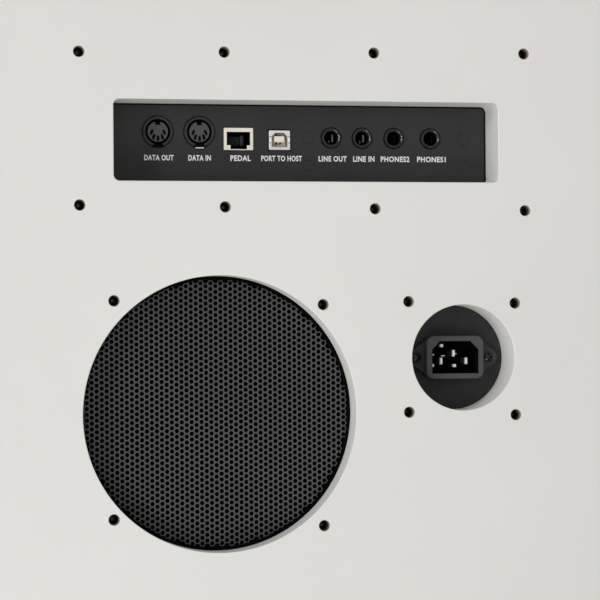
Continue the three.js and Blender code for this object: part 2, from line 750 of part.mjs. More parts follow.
// A flat lever that widens into a rounded tread.
function pedal(x) {
  const arm = 8;
  const tread = 14;
  const shape = new THREE.Shape();
  shape.moveTo(x + arm, 132);
  shape.lineTo(x - arm, 132);
  shape.lineTo(x - arm, 50);
  shape.quadraticCurveTo(x - arm, 25, x - tread, 5);
  shape.absarc(x, PEDAL_TIP_Y + tread, tread, Math.PI, 2 * Math.PI);
  shape.lineTo(x + tread, 5);
  shape.quadraticCurveTo(x + arm, 25, x + arm, 50);
  return sweepZ(shape, PEDAL_Z, 6);
}

addCabinet();
addKeyboard();
addFallboard();
addMusicRest();
addControls();
addJackTray();
addDinSocket('din_socket_out', DIN_OUT);
addDinSocket('din_socket_in', DIN_IN);
addBoxSockets();
addJacks();
addInlet();
for (const [word, side] of SIDES) {
  addSpeaker(word, side);
}
addElectronics();
addStand();
addPedals();

export default group;
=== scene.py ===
"""A white console digital piano on its stand, seen from behind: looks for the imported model.

Lengths inside the shape functions are millimetres in the row's frame, +Z up, player at -Y.
They turn into metres only where a mesh is made.
"""

import json
from math import asin, copysign, cos, hypot, pi, radians, sin, sqrt

import bmesh
import bpy
from mathutils import Matrix, Vector
from mathutils.geometry import tessellate_polygon


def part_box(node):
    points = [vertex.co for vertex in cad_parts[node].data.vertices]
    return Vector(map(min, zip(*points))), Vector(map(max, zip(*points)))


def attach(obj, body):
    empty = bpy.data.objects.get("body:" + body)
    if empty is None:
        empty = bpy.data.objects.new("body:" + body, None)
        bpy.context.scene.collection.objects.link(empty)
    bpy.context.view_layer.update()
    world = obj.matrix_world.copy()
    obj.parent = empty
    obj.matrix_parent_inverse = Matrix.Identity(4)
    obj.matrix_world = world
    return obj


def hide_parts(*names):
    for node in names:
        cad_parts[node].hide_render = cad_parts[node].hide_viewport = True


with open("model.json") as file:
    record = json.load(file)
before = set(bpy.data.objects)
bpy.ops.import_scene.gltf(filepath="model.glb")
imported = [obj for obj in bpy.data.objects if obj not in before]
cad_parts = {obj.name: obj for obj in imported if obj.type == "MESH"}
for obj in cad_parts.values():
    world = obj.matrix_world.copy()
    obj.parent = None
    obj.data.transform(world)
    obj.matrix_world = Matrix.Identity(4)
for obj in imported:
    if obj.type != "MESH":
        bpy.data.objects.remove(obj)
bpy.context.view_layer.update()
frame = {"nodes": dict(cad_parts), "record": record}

MM = 0.001
GAP = 0.3
# The record's material slot for each CAD node.
RECORD = frame["record"]
SLOT_OF = {row["node"]: row["material_slot"] for row in RECORD["subparts"]}


def node_box(node):
    """Lowest and highest corner of a CAD node, in millimetres."""
    low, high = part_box(node)
    return Vector(low) / MM, Vector(high) / MM


# ---- Places read from the frame ----

BACK_BOARDS = ("back_board_upper", "back_board_left", "back_board_right")
UPPER_LOW, UPPER_HIGH = node_box("back_board_upper")
LOWER_Z = node_box("back_board_left")[0].z
BACK_Y = UPPER_HIGH.y
INNER_Y = UPPER_LOW.y
TRAY_LOW, TRAY_HIGH = node_box("jack_tray")
TRAY_Y = TRAY_HIGH.y


def centre_of(node):
    low, high = node_box(node)
    return (low + high) / 2


SPEAKER = centre_of("grille_right")
INLET = centre_of("mains_inlet")


# ---- Camera: behind the piano, level with the socket recess ----

def make_camera():
    """Looks at the back board from 1.3 m, from the right speaker's outer side."""
    data = bpy.data.cameras.new("camera")
    data.sensor_width = 36
    data.lens = 150.5
    camera = bpy.data.objects.new("camera", data)
    bpy.context.collection.objects.link(camera)
    aside = 226.8
    stand_off = 1300
    above = 37.9
    place = Vector((SPEAKER.x + aside, BACK_Y + stand_off, SPEAKER.z + above))
    yaw = radians(11.71)
    pitch = radians(0.94)
    roll = radians(0.46)
    forward = Vector((-sin(yaw) * cos(pitch), -cos(yaw) * cos(pitch), sin(pitch)))
    level = forward.cross(Vector((0, 0, 1))).normalized()
    upright = level.cross(forward)
    right = level * cos(roll) - upright * sin(roll)
    up = upright * cos(roll) + level * sin(roll)
    turn = Matrix((right, up, -forward)).transposed().to_4x4()
    camera.matrix_world = Matrix.Translation(place * MM) @ turn
    data.clip_end = 200
    bpy.context.scene.camera = camera


make_camera()


# ---- Materials ----

def new_material(color, roughness, metallic=0.0):
    look = bpy.data.materials.new("look")
    look.use_nodes = True
    shader = look.node_tree.nodes["Principled BSDF"]
    shader.inputs["Base Color"].default_value = (*color, 1)
    shader.inputs["Roughness"].default_value = roughness
    shader.inputs["Metallic"].default_value = metallic
    look.diffuse_color = (*color, 1)
    return look, look.node_tree, shader


def noise(tree, scale, detail=3.0, stretch=(1, 1, 1)):
    """A noise pattern in object space; scale is in features per metre."""
    coords = tree.nodes.new("ShaderNodeTexCoord")
    mapping = tree.nodes.new("ShaderNodeMapping")
    mapping.inputs["Scale"].default_value = stretch
    texture = tree.nodes.new("ShaderNodeTexNoise")
    texture.inputs["Scale"].default_value = scale
    texture.inputs["Detail"].default_value = detail
    tree.links.new(coords.outputs["Object"], mapping.inputs["Vector"])
    tree.links.new(mapping.outputs["Vector"], texture.inputs["Vector"])
    return texture.outputs["Fac"]


def remap(tree, value, low, high):
    node = tree.nodes.new("ShaderNodeMapRange")
    node.inputs["From Min"].default_value = 0.3
    node.inputs["From Max"].default_value = 0.7
    node.inputs["To Min"].default_value = low
    node.inputs["To Max"].default_value = high
    tree.links.new(value, node.inputs["Value"])
    return node.outputs["Result"]


def two_tone(tree, value, dark, light):
    ramp = tree.nodes.new("ShaderNodeValToRGB")
    ramp.color_ramp.elements[0].position = 0.3
    ramp.color_ramp.elements[0].color = (*dark, 1)
    ramp.color_ramp.elements[1].position = 0.7
    ramp.color_ramp.elements[1].color = (*light, 1)
    tree.links.new(value, ramp.inputs["Fac"])
    return ramp.outputs["Color"]


def bump(tree, shader, height, strength, distance):
    node = tree.nodes.new("ShaderNodeBump")
    node.inputs["Strength"].default_value = strength
    node.inputs["Distance"].default_value = distance
    tree.links.new(height, node.inputs["Height"])
    tree.links.new(node.outputs["Normal"], shader.inputs["Normal"])


def toned(color, factor):
    return tuple(min(1.0, channel * factor) for channel in color)


def finish_look(color, roughness, metallic=0.0, spread=0.04, patch=9, grain=900,
                rough_spread=0.06, relief=0.0001, strength=0.25, stretch=(1, 1, 1), gloss=0.5):
    """A surface with soft large patches of tone and a fine grain in roughness and relief."""
    look, tree, shader = new_material(color, roughness, metallic)
    tone = two_tone(tree, noise(tree, patch, 4), toned(color, 1 - spread), toned(color, 1 + spread))
    tree.links.new(tone, shader.inputs["Base Color"])
    fine = noise(tree, grain, 2, stretch)
    rough = remap(tree, fine, roughness - rough_spread, roughness + rough_spread)
    tree.links.new(rough, shader.inputs["Roughness"])
    bump(tree, shader, fine, strength, relief)
    shader.inputs["Specular IOR Level"].default_value = gloss
    return look


def fibreboard_look():
    color = (0.25, 0.17, 0.11)
    look, tree, shader = new_material(color, 0.95)
    tone = two_tone(tree, noise(tree, 1500, 4, (1, 0.3, 1)), toned(color, 0.6), toned(color, 1.5))
    tree.links.new(tone, shader.inputs["Base Color"])
    bump(tree, shader, noise(tree, 2500, 3), 0.6, 0.0003)
    return look


LOOKS = {
    "cabinet_white": finish_look((0.725, 0.715, 0.69), 0.5, spread=0.018, patch=7,
                                 grain=700, relief=0.00006, strength=0.2, gloss=0.4),
    "chassis_grey": finish_look((0.10, 0.105, 0.11), 0.6),
    "moulded_black": finish_look((0.029, 0.0285, 0.0285), 0.5, spread=0.10, patch=30,
                                 grain=1600, relief=0.00012, strength=0.35, gloss=0.3),
    "pin_grey": finish_look((0.070, 0.070, 0.073), 0.5, spread=0.06, patch=200, grain=2500,
                            relief=0.00004, gloss=0.35),
    "jack_black": finish_look((0.010, 0.010, 0.011), 0.12, spread=0.08, patch=90, grain=900,
                              rough_spread=0.02, relief=0.00001, strength=0.05, gloss=0.6),
    "inlet_grey": finish_look((0.060, 0.060, 0.064), 0.5, spread=0.08, patch=60, grain=1500,
                              relief=0.00010, strength=0.3, gloss=0.35),
    # Near-black with no sheen: painted shade, put in slots, holes and cavities where only shadow shows.
    "painted_shade_black": finish_look((0.003, 0.003, 0.0035), 0.9, spread=0.2, patch=120,
                                grain=1500, gloss=0.04),
    "black_steel": finish_look((0.022, 0.022, 0.023), 0.5, spread=0.08, patch=25, grain=2200,
                               relief=0.00008, strength=0.3, gloss=0.3),
    "grille_steel": finish_look((0.062, 0.062, 0.063), 0.45, spread=0.08, patch=25,
                                grain=2200, relief=0.00006, strength=0.3, gloss=0.4),
    # Near-black matte: the speaker cloth's own colour, and painted shade on the grille rims, the recess ring
    # and the tabs under the round sockets.
    "black_cloth": finish_look((0.002, 0.002, 0.002), 0.95, spread=0.3, patch=200,
                               grain=3000, strength=0.5, gloss=0.05),
    "socket_beige": finish_look((0.84, 0.79, 0.69), 0.5, spread=0.05, patch=60),
    "tongue_ivory": finish_look((0.88, 0.81, 0.70), 0.4, spread=0.03, patch=150),
    "socket_steel": finish_look((0.84, 0.84, 0.83), 0.34, 0.35, spread=0.08, patch=250,
                                grain=1500, stretch=(1, 1, 8)),
    "circuit_board": finish_look((0.02, 0.13, 0.06), 0.4, spread=0.2, patch=80),
    "key_ivory": finish_look((0.83, 0.81, 0.75), 0.22, spread=0.02, patch=12, grain=400,
                             rough_spread=0.05, relief=0.00003, strength=0.1),
    "key_ebony": finish_look((0.010, 0.010, 0.011), 0.38, spread=0.2, patch=40, grain=1200,
                             stretch=(1, 0.1, 1), relief=0.00004, strength=0.2),
    "pedal_brass": finish_look((0.72, 0.50, 0.20), 0.22, 1.0, spread=0.06, patch=30,
                               grain=1200, stretch=(1, 0.1, 1), rough_spread=0.08, relief=0.00002,
                               strength=0.1),
    "bare_fibreboard": fibreboard_look(),
    # A lighter brownish grey for the mouth of each screw bore: painted light where light reaches into the
    # bore.
    "painted_light_fibreboard": finish_look((0.36, 0.32, 0.28), 0.8, spread=0.14, patch=300,
                                     grain=2500, relief=0.00004),
    # The socket's beige darkened to brown: painted shade on the USB sleeve's inner walls.
    "socket_beige_painted_shade": finish_look((0.17, 0.13, 0.095), 0.6, spread=0.15, patch=200),
    "mark_white": finish_look((0.88, 0.88, 0.88), 0.55, spread=0.02, patch=300),
    "red_felt": finish_look((0.30, 0.012, 0.02), 0.95, spread=0.25, patch=400, grain=2500,
                            strength=0.8, relief=0.0004),
    "red_lens": finish_look((0.35, 0.012, 0.010), 0.15, spread=0.12, patch=400, grain=1500,
                            relief=0.00002, strength=0.1),
}

for look_name, finish in LOOKS.items():
    finish.name = look_name


# ---- Mesh building ----

class Shape:
    """Vertices and faces in millimetres, turned into one Blender piece at the end."""

    def __init__(self):
        self.points = []
        self.faces = []

    def loop(self, points):
        first = len(self.points)
        self.points.extend(points)
        return list(range(first, len(self.points)))

    def bridge(self, a, b):
        count = len(a)
        for i in range(count):
            j = (i + 1) % count
            self.faces.append((a[i], a[j], b[j], b[i]))

    def cap(self, ring):
        self.faces.append(tuple(ring))

    def loft(self, rings, start=True, end=True):
        loops = [self.loop(ring) for ring in rings]
        for a, b in zip(loops, loops[1:]):
            self.bridge(a, b)
        if start:
            self.cap(loops[0])
        if end:
            self.cap(loops[-1])
        return loops

    def flat_with_holes(self, loops):
        """Fills the plane between an outer loop and the loops inside it."""
        order = [index for loop in loops for index in loop]
        polygons = [[Vector(self.points[index]) for index in loop] for loop in loops]
        for triangle in tessellate_polygon(polygons):
            self.faces.append(tuple(order[corner] for corner in triangle))

    def add(self, points, faces):
        first = len(self.points)
        self.points.extend(points)
        self.faces.extend(tuple(first + index for index in face) for face in faces)


FLAT_AREA = 2e-4


def to_mesh(name, shape, bevel=0.0, segments=2, bevel_angle=30, flat_angle=32):
    """One mesh in metres: welded, normals outside, edges rounded, smooth below flat_angle."""
    mesh = bpy.data.meshes.new(name)
    mesh.from_pydata([Vector(point) * MM for point in shape.points], [], shape.faces)
    body = bmesh.new()
    body.from_mesh(mesh)
    return store(body, mesh, bevel, segments, bevel_angle, flat_angle)


def store(body, mesh, bevel, segments, bevel_angle, flat_angle):
    bmesh.ops.remove_doubles(body, verts=body.verts, dist=2e-6)
    bmesh.ops.recalc_face_normals(body, faces=body.faces)
    if bevel:
        edges = [edge for edge in body.edges if len(edge.link_faces) == 2
                 and edge.calc_face_angle(0) > radians(bevel_angle)]
        bmesh.ops.bevel(body, geom=edges, offset=bevel * MM, offset_type="OFFSET", segments=segments,
                        profile=0.5, affect="EDGES", clamp_overlap=True)
    for face in body.faces:
        square = max(abs(part) for part in face.normal) > 0.99999
        face.smooth = not square and face.calc_area() < FLAT_AREA
    for edge in body.edges:
        sharp = len(edge.link_faces) == 2 and edge.calc_face_angle(0) > radians(flat_angle)
        edge.smooth = not sharp
    body.to_mesh(mesh)
    body.free()
    return mesh


def add_piece(name, mesh, slot, body="root", replaces=()):
    """Puts a mesh in the scene with its slot's material, on its body."""
    piece = bpy.data.objects.new(name, mesh)
    bpy.context.collection.objects.link(piece)
    mesh.materials.clear()
    mesh.materials.append(LOOKS[slot])
    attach(piece, body)
    if replaces:
        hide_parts(*replaces)
    return piece


def add_shape(name, shape, slot, body="root", replaces=(), **edges):
    """Makes a shape into a piece; edges are to_mesh's settings for its edges."""
    return add_piece(name, to_mesh(name, shape, **edges), slot, body, replaces)


def softened(node, body="root", bevel=1.2, segments=3):
    """A CAD board's shape with its flat faces made whole and its edges rounded."""
    mesh = bpy.data.meshes.new(node + "_soft")
    board = bmesh.new()
    board.from_mesh(frame["nodes"][node].data)
    bmesh.ops.remove_doubles(board, verts=board.verts, dist=1e-6)
    bmesh.ops.dissolve_limit(board, angle_limit=radians(1), use_dissolve_boundaries=False,
                             verts=board.verts, edges=board.edges)
    store(board, mesh, bevel, segments, 25, 20)
    return add_piece(node + "_shell", mesh, SLOT_OF[node], body, (node,))


def arc_levels(radius, face, steps=3):
    """(offset, depth) pairs that round an edge from a flat face down into a wall."""
    levels = []
    for step in range(steps + 1):
        angle = pi / 2 * step / steps
        levels.append((radius * (1 - sin(angle)), face - radius * (1 - cos(angle))))
    return levels


def round_points(cx, cy, radius, count):
    return [(cx + radius * cos(2 * pi * i / count), cy + radius * sin(2 * pi * i / count))
            for i in range(count)]


def corner_points(a, b):
    """The four corners of a rectangle with the spans a and b."""
    return [(a[0], b[0]), (a[1], b[0]), (a[1], b[1]), (a[0], b[1])]


def circle(cx, cy, radius, count):
    """A function from an offset to the (a, b) points of a circle grown by that offset."""
    def grown(offset):
        return round_points(cx, cy, radius + offset, count)
    return grown


def rounded_box(a, b, corner, steps=6):
    """A function from an offset to the points of a rounded rectangle grown by that offset."""
    def grown(offset):
        radius = max(corner + offset, 0.01)
        points = []
        corners = ((a[1], b[1], 0), (a[0], b[1], 1), (a[0], b[0], 2), (a[1], b[0], 3))
        for ca, cb, quarter in corners:
            inward_a = -corner if quarter in (0, 3) else corner
            inward_b = -corner if quarter in (0, 1) else corner
            for step in range(steps + 1):
                angle = pi / 2 * (quarter + step / steps)
                points.append((ca + inward_a + radius * cos(angle),
                               cb + inward_b + radius * sin(angle)))
        return points
    return grown


def slab(outer, holes, top, bottom, place, edge=1.0):
    """A flat board with rounded rims. holes are (outline, levels, floor) with levels as
    (offset, depth) from the top face down; place turns (a, b, depth) into a point."""
    shape = Shape()

    def ring(outline, offset, depth):
        return [place(a, b, depth) for a, b in outline(offset)]

    side = [(-offset, depth) for offset, depth in arc_levels(edge, top)]
    mirrored = [(offset, bottom + (top - depth)) for offset, depth in reversed(side)]
    loops = shape.loft([ring(outer, offset, depth) for offset, depth in side + mirrored], False, False)
    upper = [loops[0]]
    lower = [loops[-1]]
    for outline, levels, floor in holes:
        rings = shape.loft([ring(outline, offset, depth) for offset, depth in levels], False, floor)
        upper.append(rings[0])
        if not floor:
            lower.append(rings[-1])
    shape.flat_with_holes(upper)
    shape.flat_with_holes(lower)
    return shape


def turned(profile, cx, cz, count=48, closed=False):
    """(radius, y) points turned about an axis along Y through (cx, cz)."""
    shape = Shape()
    rings = []
    for radius, y in profile:
        rings.append([(a, y, b) for a, b in round_points(cx, cz, radius, count)])
    if closed:
        loops = [shape.loop(ring) for ring in rings]
        for a, b in zip(loops, loops[1:] + loops[:1]):
            shape.bridge(a, b)
    else:
        shape.loft(rings)
    return shape


def block(x, y, z):
    return lofted([[(a, depth, b) for a, b in corner_points(x, z)] for depth in y])


def lofted(rings):
    shape = Shape()
    shape.loft(rings)
    return shape


def merged(shapes):
    whole = Shape()
    for shape in shapes:
        whole.add(shape.points, shape.faces)
    return whole


def on_back(a, b, depth):
    """Board coordinates (x, z, y)."""
    return (a, depth, b)


def on_top(a, b, depth):
    """Plan coordinates (x, y, z), for pieces that lie flat."""
    return (a, b, depth)


# ---- Back board ----

SPEAKER_SCREWS = ((56.3, 59.7), (-55.3, 57.2), (57.0, -54.4), (-55.0, -59.9))
INLET_SCREWS = ((30.1, 30.1), (-28.9, 29.0), (30.2, -29.0), (-28.9, -31.1))
TRAY_SCREW_COLUMNS = (503.9, 427.0, 345.9, 262.8)
TRAY_SCREW_INSET = 9.4
TRAY_SCREW_DROP = 0.3
TRAY_SCREW_SLOPE = 0.77
EDGE_SCREW_X = 655
EDGE_SCREW_HEIGHTS = (600, 755, 912)
BORE_R = 3.0
BORE_DEPTH = 9
SCREW_HEAD_DEPTH = 6.5
HOLE_EDGE = 0.4


def opening_box(name):
    row = next(item for item in RECORD["physics"]["openings"] if item["name"] == name)
    low, high = row["box_m"]
    return Vector(low) / MM, Vector(high) / MM


def back_screws():
    """Centres (x, z) of the sunk screws in the back board."""
    places = []
    for side in (-1, 1):
        places.extend((side * (SPEAKER.x + dx), SPEAKER.z + dz) for dx, dz in SPEAKER_SCREWS)
        places.extend((side * EDGE_SCREW_X, z) for z in EDGE_SCREW_HEIGHTS)
    places.extend((INLET.x + dx, INLET.z + dz) for dx, dz in INLET_SCREWS)
    for column, x in enumerate(TRAY_SCREW_COLUMNS):
        fan = TRAY_SCREW_SLOPE * column
        places.append((x, TRAY_HIGH.z - TRAY_SCREW_INSET - TRAY_SCREW_DROP + fan))
        places.append((x, TRAY_LOW.z + TRAY_SCREW_INSET - TRAY_SCREW_DROP - fan))
    return places


# How far the recess reaches past the opening's box: at most sides, nearest the middle, and on top.
RECESS_CLEARANCE = 1.0
RECESS_FAR_CLEARANCE = 1.5
RECESS_TOP_CLEARANCE = 0.6


def recess_span():
    low, high = opening_box("jack_recess")
    return ((low.x - RECESS_FAR_CLEARANCE, high.x + RECESS_CLEARANCE),
            (low.z - RECESS_CLEARANCE, high.z + RECESS_TOP_CLEARANCE))


SPEAKER_HOLE_R = 72.9
GRILLE_REBATE_R = 76.3
GRILLE_FACE = node_box("grille_right")[1].y
INLET_HOLE_R = 28.4


def build_back_board():
    rim = arc_levels(HOLE_EDGE, BACK_Y)
    through = rim + [(0, INNER_Y)]
    speaker_levels = rim + [(0, GRILLE_FACE + GAP), (GRILLE_REBATE_R - SPEAKER_HOLE_R, GRILLE_FACE + GAP),
                            (GRILLE_REBATE_R - SPEAKER_HOLE_R, INNER_Y)]
    bore_levels = arc_levels(0.25, BACK_Y, 2) + [(0, BACK_Y - BORE_DEPTH)]
    recess_x, recess_z = recess_span()
    holes = [
        (rounded_box(recess_x, recess_z, 3.2), through, False),
        (circle(INLET.x, INLET.z, INLET_HOLE_R, 72), through, False),
        (circle(SPEAKER.x, SPEAKER.z, SPEAKER_HOLE_R, 128), speaker_levels, False),
        (circle(-SPEAKER.x, SPEAKER.z, SPEAKER_HOLE_R, 128), speaker_levels, False),
    ]
    for x, z in back_screws():
        holes.append((circle(x, z, BORE_R, 28), bore_levels, True))
    outer = rounded_box((UPPER_LOW.x, UPPER_HIGH.x), (LOWER_Z, UPPER_HIGH.z), 0.5, 1)
    shape = slab(outer, holes, BACK_Y, INNER_Y, on_back, 0.8)
    add_shape("back_board_shell", shape, "cabinet_white", replaces=BACK_BOARDS)


def build_bores():
    """Lining of each screw bore: a lighter band near the mouth as painted light, bare fibreboard below it."""
    floor = BACK_Y - BORE_DEPTH + 0.15
    mouth = BACK_Y - 0.45
    change = BACK_Y - 2.4
    for name, front, rear, slot in (("bore_mouths_painted_light", mouth, change, "painted_light_fibreboard"),
                                    ("bore_linings", change - 0.02, floor, "bare_fibreboard")):
        wall = [(BORE_R - 0.04, front), (BORE_R - 0.04, rear), (BORE_R - 0.24, rear), (BORE_R - 0.16, front)]
        lining = merged(turned(wall, x, z, 28, closed=True) for x, z in back_screws())
        add_shape(name, lining, slot)


def screw_head(cx, cz, face, radius):
    """A domed head with a cross recess, seen along Y; face is the top of the dome."""
    rings = 9
    spokes = 40
    shape = Shape()
    cross = 0.62
    arm = 0.17
    recess = 0.42 * radius
    rows = []
    for ring in range(1, rings + 1):
        share = ring / rings
        row = []
        for spoke in range(spokes):
            angle = 2 * pi * spoke / spokes
            a = share * cos(angle)
            b = share * sin(angle)
            dome = 0.35 * radius * share ** 3
            in_cross = min(abs(a), abs(b)) < arm and share < cross
            sink = recess if in_cross else 0
            row.append((cx + a * radius, face - dome - sink, cz + b * radius))
        rows.append(row)
    rows.append([(a, face - radius, b) for a, b in round_points(cx, cz, radius, spokes)])
    loops = [shape.loop(row) for row in rows]
    centre = shape.loop([(cx, face - recess, cz)])[0]
    for i in range(spokes):
        shape.faces.append((centre, loops[0][i], loops[0][(i + 1) % spokes]))
    for a, b in zip(loops, loops[1:]):
        shape.bridge(a, b)
    shape.cap(loops[-1])
    return shape


def build_screws():
    heads = merged(screw_head(x, z, BACK_Y - SCREW_HEAD_DEPTH, BORE_R - 0.4) for x, z in back_screws())
    add_shape("back_board_screws", heads, "jack_black")


build_back_board()
build_bores()
build_screws()


# ---- Speaker grilles ----

PERFORATION_PITCH = 3.07
PERFORATION_R = 1.2
PERFORATED_R = 70.6
CLOTH_R = 73.5


def perforated_disc(cx, cz, radius, face, thickness):
    """A punched sheet: six-sided cells with a round hole each, columns upright."""
    sides = 12
    half = PERFORATION_PITCH / 2
    corner = PERFORATION_PITCH / sqrt(3)
    column_step = PERFORATION_PITCH * sqrt(3) / 2
    outline = []
    for i in range(sides):
        angle = pi / 6 * i
        reach = corner if i % 2 == 0 else half
        outline.append((reach * cos(angle), reach * sin(angle)))
    shape = Shape()
    columns = int(radius / column_step) + 1
    rows = int(radius / PERFORATION_PITCH) + 1
    for column in range(-columns, columns + 1):
        for row in range(-rows, rows + 1):
            x = column * column_step
            z = (row + 0.5 * (column % 2)) * PERFORATION_PITCH
            if hypot(x, z) > radius:
                continue
            rim = [(cx + x + a, face, cz + z + b) for a, b in outline]
            top = []
            for i in range(sides):
                angle = pi / 6 * i
                top.append((cx + x + PERFORATION_R * cos(angle), face,
                            cz + z + PERFORATION_R * sin(angle)))
            low = [(px, face - thickness, pz) for px, _, pz in top]
            back = [(px, face - thickness, pz) for px, _, pz in rim]
            loops = [shape.loop(ring) for ring in (rim, top, low, back)]
            for a, b in zip(loops, loops[1:]):
                shape.bridge(a, b)
    return shape


def build_grille(word, cx):
    cz = SPEAKER.z
    low, high = node_box(f"grille_{word}")
    face = high.y - 0.4
    outer = (high.x - low.x) / 2
    sheet = perforated_disc(cx, cz, PERFORATED_R, face, 0.8)
    add_shape(f"grille_sheet_{word}", sheet, "grille_steel", replaces=(f"grille_{word}",), flat_angle=40)
    inner = PERFORATED_R + 0.6
    # The unpunched rim round the holes is coloured near-black as painted shade: the board's edge shadows it.
    rim = turned([(inner, face + 0.05), (inner + 0.4, face + 0.35), (outer - 0.5, high.y),
                  (outer, high.y - 0.6), (outer, low.y), (outer - 1, low.y), (outer - 1.2, face - 0.9),
                  (inner, face - 0.9)], cx, cz, 128, closed=True)
    add_shape(f"grille_painted_shade_rim_{word}", rim, "black_cloth")
    cloth = turned([(0.01, face - 1.6), (CLOTH_R, face - 1.6), (CLOTH_R, face - 2.0), (0.01, face - 2.0)],
                   cx, cz, 96)
    add_shape(f"grille_cloth_{word}", cloth, "black_cloth")


build_grille("right", SPEAKER.x)
build_grille("left", -SPEAKER.x)


# ---- Jack tray and its sockets ----

SOCKET_GAP = 0.35
JACKS = ("line_out_jack", "line_in_jack", "phones_jack_2", "phones_jack_1")
JACK_DROP = 0.1
JACK_HOLE_R = 5.75
DIN_HOLE_R = 8.6


def window(low, high):
    """A square-cut hole round a socket's box: a function from an offset to its points."""
    def grown(offset):
        return corner_points((low.x - SOCKET_GAP - offset, high.x + SOCKET_GAP + offset),
                             (low.z - SOCKET_GAP - offset, high.z + SOCKET_GAP + offset))
    return grown


ROUND_SOCKETS = {"din_socket_out": DIN_HOLE_R, "din_socket_in": DIN_HOLE_R,
                 **{jack: JACK_HOLE_R for jack in JACKS}}


def nose_centre(node):
    """The middle of a socket's face, as (x, z). A jack's nose sits a little below its box's middle."""
    low, high = node_box(node)
    drop = JACK_DROP if node in JACKS else 0
    return (low.x + high.x) / 2, (low.z + high.z) / 2 - drop


def build_tray():
    levels = arc_levels(0.2, TRAY_Y, 2) + [(0, TRAY_LOW.y)]
    holes = []
    for node, radius in ROUND_SOCKETS.items():
        holes.append((circle(*nose_centre(node), radius, 40), levels, False))
    for node in ("pedal_socket", "host_socket"):
        holes.append((window(*node_box(node)), levels, False))
    outer = rounded_box((TRAY_LOW.x, TRAY_HIGH.x), (TRAY_LOW.z, TRAY_HIGH.z), 3)
    shape = slab(outer, holes, TRAY_Y, TRAY_LOW.y, on_back, 0.3)
    add_shape("jack_tray_plate", shape, "moulded_black", replaces=("jack_tray",))
    build_recess_shade_ring()
    build_mould_marks()


def build_recess_shade_ring():
    """A black ring between the board and the tray, just showing round the recess: painted shade for the dark
    line where the tray meets the board.
    """
    recess_x, recess_z = recess_span()
    show = 0.8
    inner = rounded_box((recess_x[0] + show, recess_x[1] - show),
                        (recess_z[0] + show, recess_z[1] - show), 2.4)
    outer = rounded_box((recess_x[0] - 4, recess_x[1] + 4), (recess_z[0] - 4, recess_z[1] + 4), 4)
    top, bottom = INNER_Y - 0.02, TRAY_Y + 0.02
    shape = slab(outer, [(inner, [(0, top), (0, bottom)], False)], top, bottom, on_back, 0.05)
    add_shape("recess_painted_shade_ring", shape, "black_cloth")


def build_mould_marks():
    """Faint ejector rings standing on the tray's face, in two columns."""
    left, _ = nose_centre("line_out_jack")
    right, jack_z = nose_centre("phones_jack_1")
    marks = []
    for x in (left + 12.6, right - 18.5):
        for z in (jack_z, jack_z - 15):
            ring = [(3.0, TRAY_Y), (3.15, TRAY_Y + 0.22), (3.35, TRAY_Y + 0.22), (3.5, TRAY_Y)]
            marks.append(turned(ring, x, z, 32, closed=True))
    add_shape("tray_mould_rings", merged(marks), "moulded_black")


def capsule(cx, cz, angle, half_length, radius):
    """A rounded slot's outline, lengthwise along angle."""
    points = []
    for end, turn in ((1, -0.5), (-1, 0.5)):
        for step in range(7):
            way = angle + pi * (turn + step / 6)
            mid = (cx + end * half_length * cos(angle), cz + end * half_length * sin(angle))
            points.append((mid[0] + radius * cos(way), mid[1] + radius * sin(way)))
    return polygon(points)


def notched_disc(cx, cz, radius, half_width, depth):
    """A circle with a square notch in its top."""
    start = asin(half_width / radius)
    steps = 60
    points = [(cx - half_width, cz + radius - depth), (cx + half_width, cz + radius - depth)]
    for step in range(steps + 1):
        angle = start + (2 * pi - 2 * start) * step / steps
        points.append((cx + radius * sin(angle), cz + radius * cos(angle)))
    return polygon(points)


PIN_BLOCK_R = 5.45
PIN_PLACES = ((-3.3, -0.3), (-2.2, -2.8), (0.1, -3.6), (2.4, -2.8), (3.4, -0.3))


def din_pins(cx, cz, half_length, radius):
    """Five upright slots fanned about the plug's key."""
    slots = []
    for dx, dz in PIN_PLACES:
        slots.append(capsule(cx - dx, cz + dz, pi / 2 - 0.13 * dx, half_length, radius))
    return slots


def din_socket(node):
    """Outer collar, ring slot for the plug's shield, and a notched five-hole pin block."""
    cx, cz = nose_centre(node)
    low, high = node_box(node)
    face = high.y
    collar = turned([(8.3, low.y), (8.3, face - 0.45), (7.95, face), (7.0, face), (6.75, face - 0.2),
                     (6.75, face - 9), (5.6, face - 9), (5.6, low.y)], cx, cz, 56, closed=True)
    add_shape(f"{node}_collar", collar, "moulded_black", replaces=(node,))
    block_face = face - 0.45
    holes = []
    for slot in din_pins(cx, cz, 0.85, 0.72):
        holes.append((slot, [(0, block_face), (0, block_face - 4)], True))
    outer = notched_disc(cx, cz, PIN_BLOCK_R, 1.45, 1.9)
    shape = slab(outer, holes, block_face, face - 9, on_back, 0.02)
    add_shape(f"{node}_pin_block", shape, "pin_grey")
    build_din_slots(node, cx, cz, face)


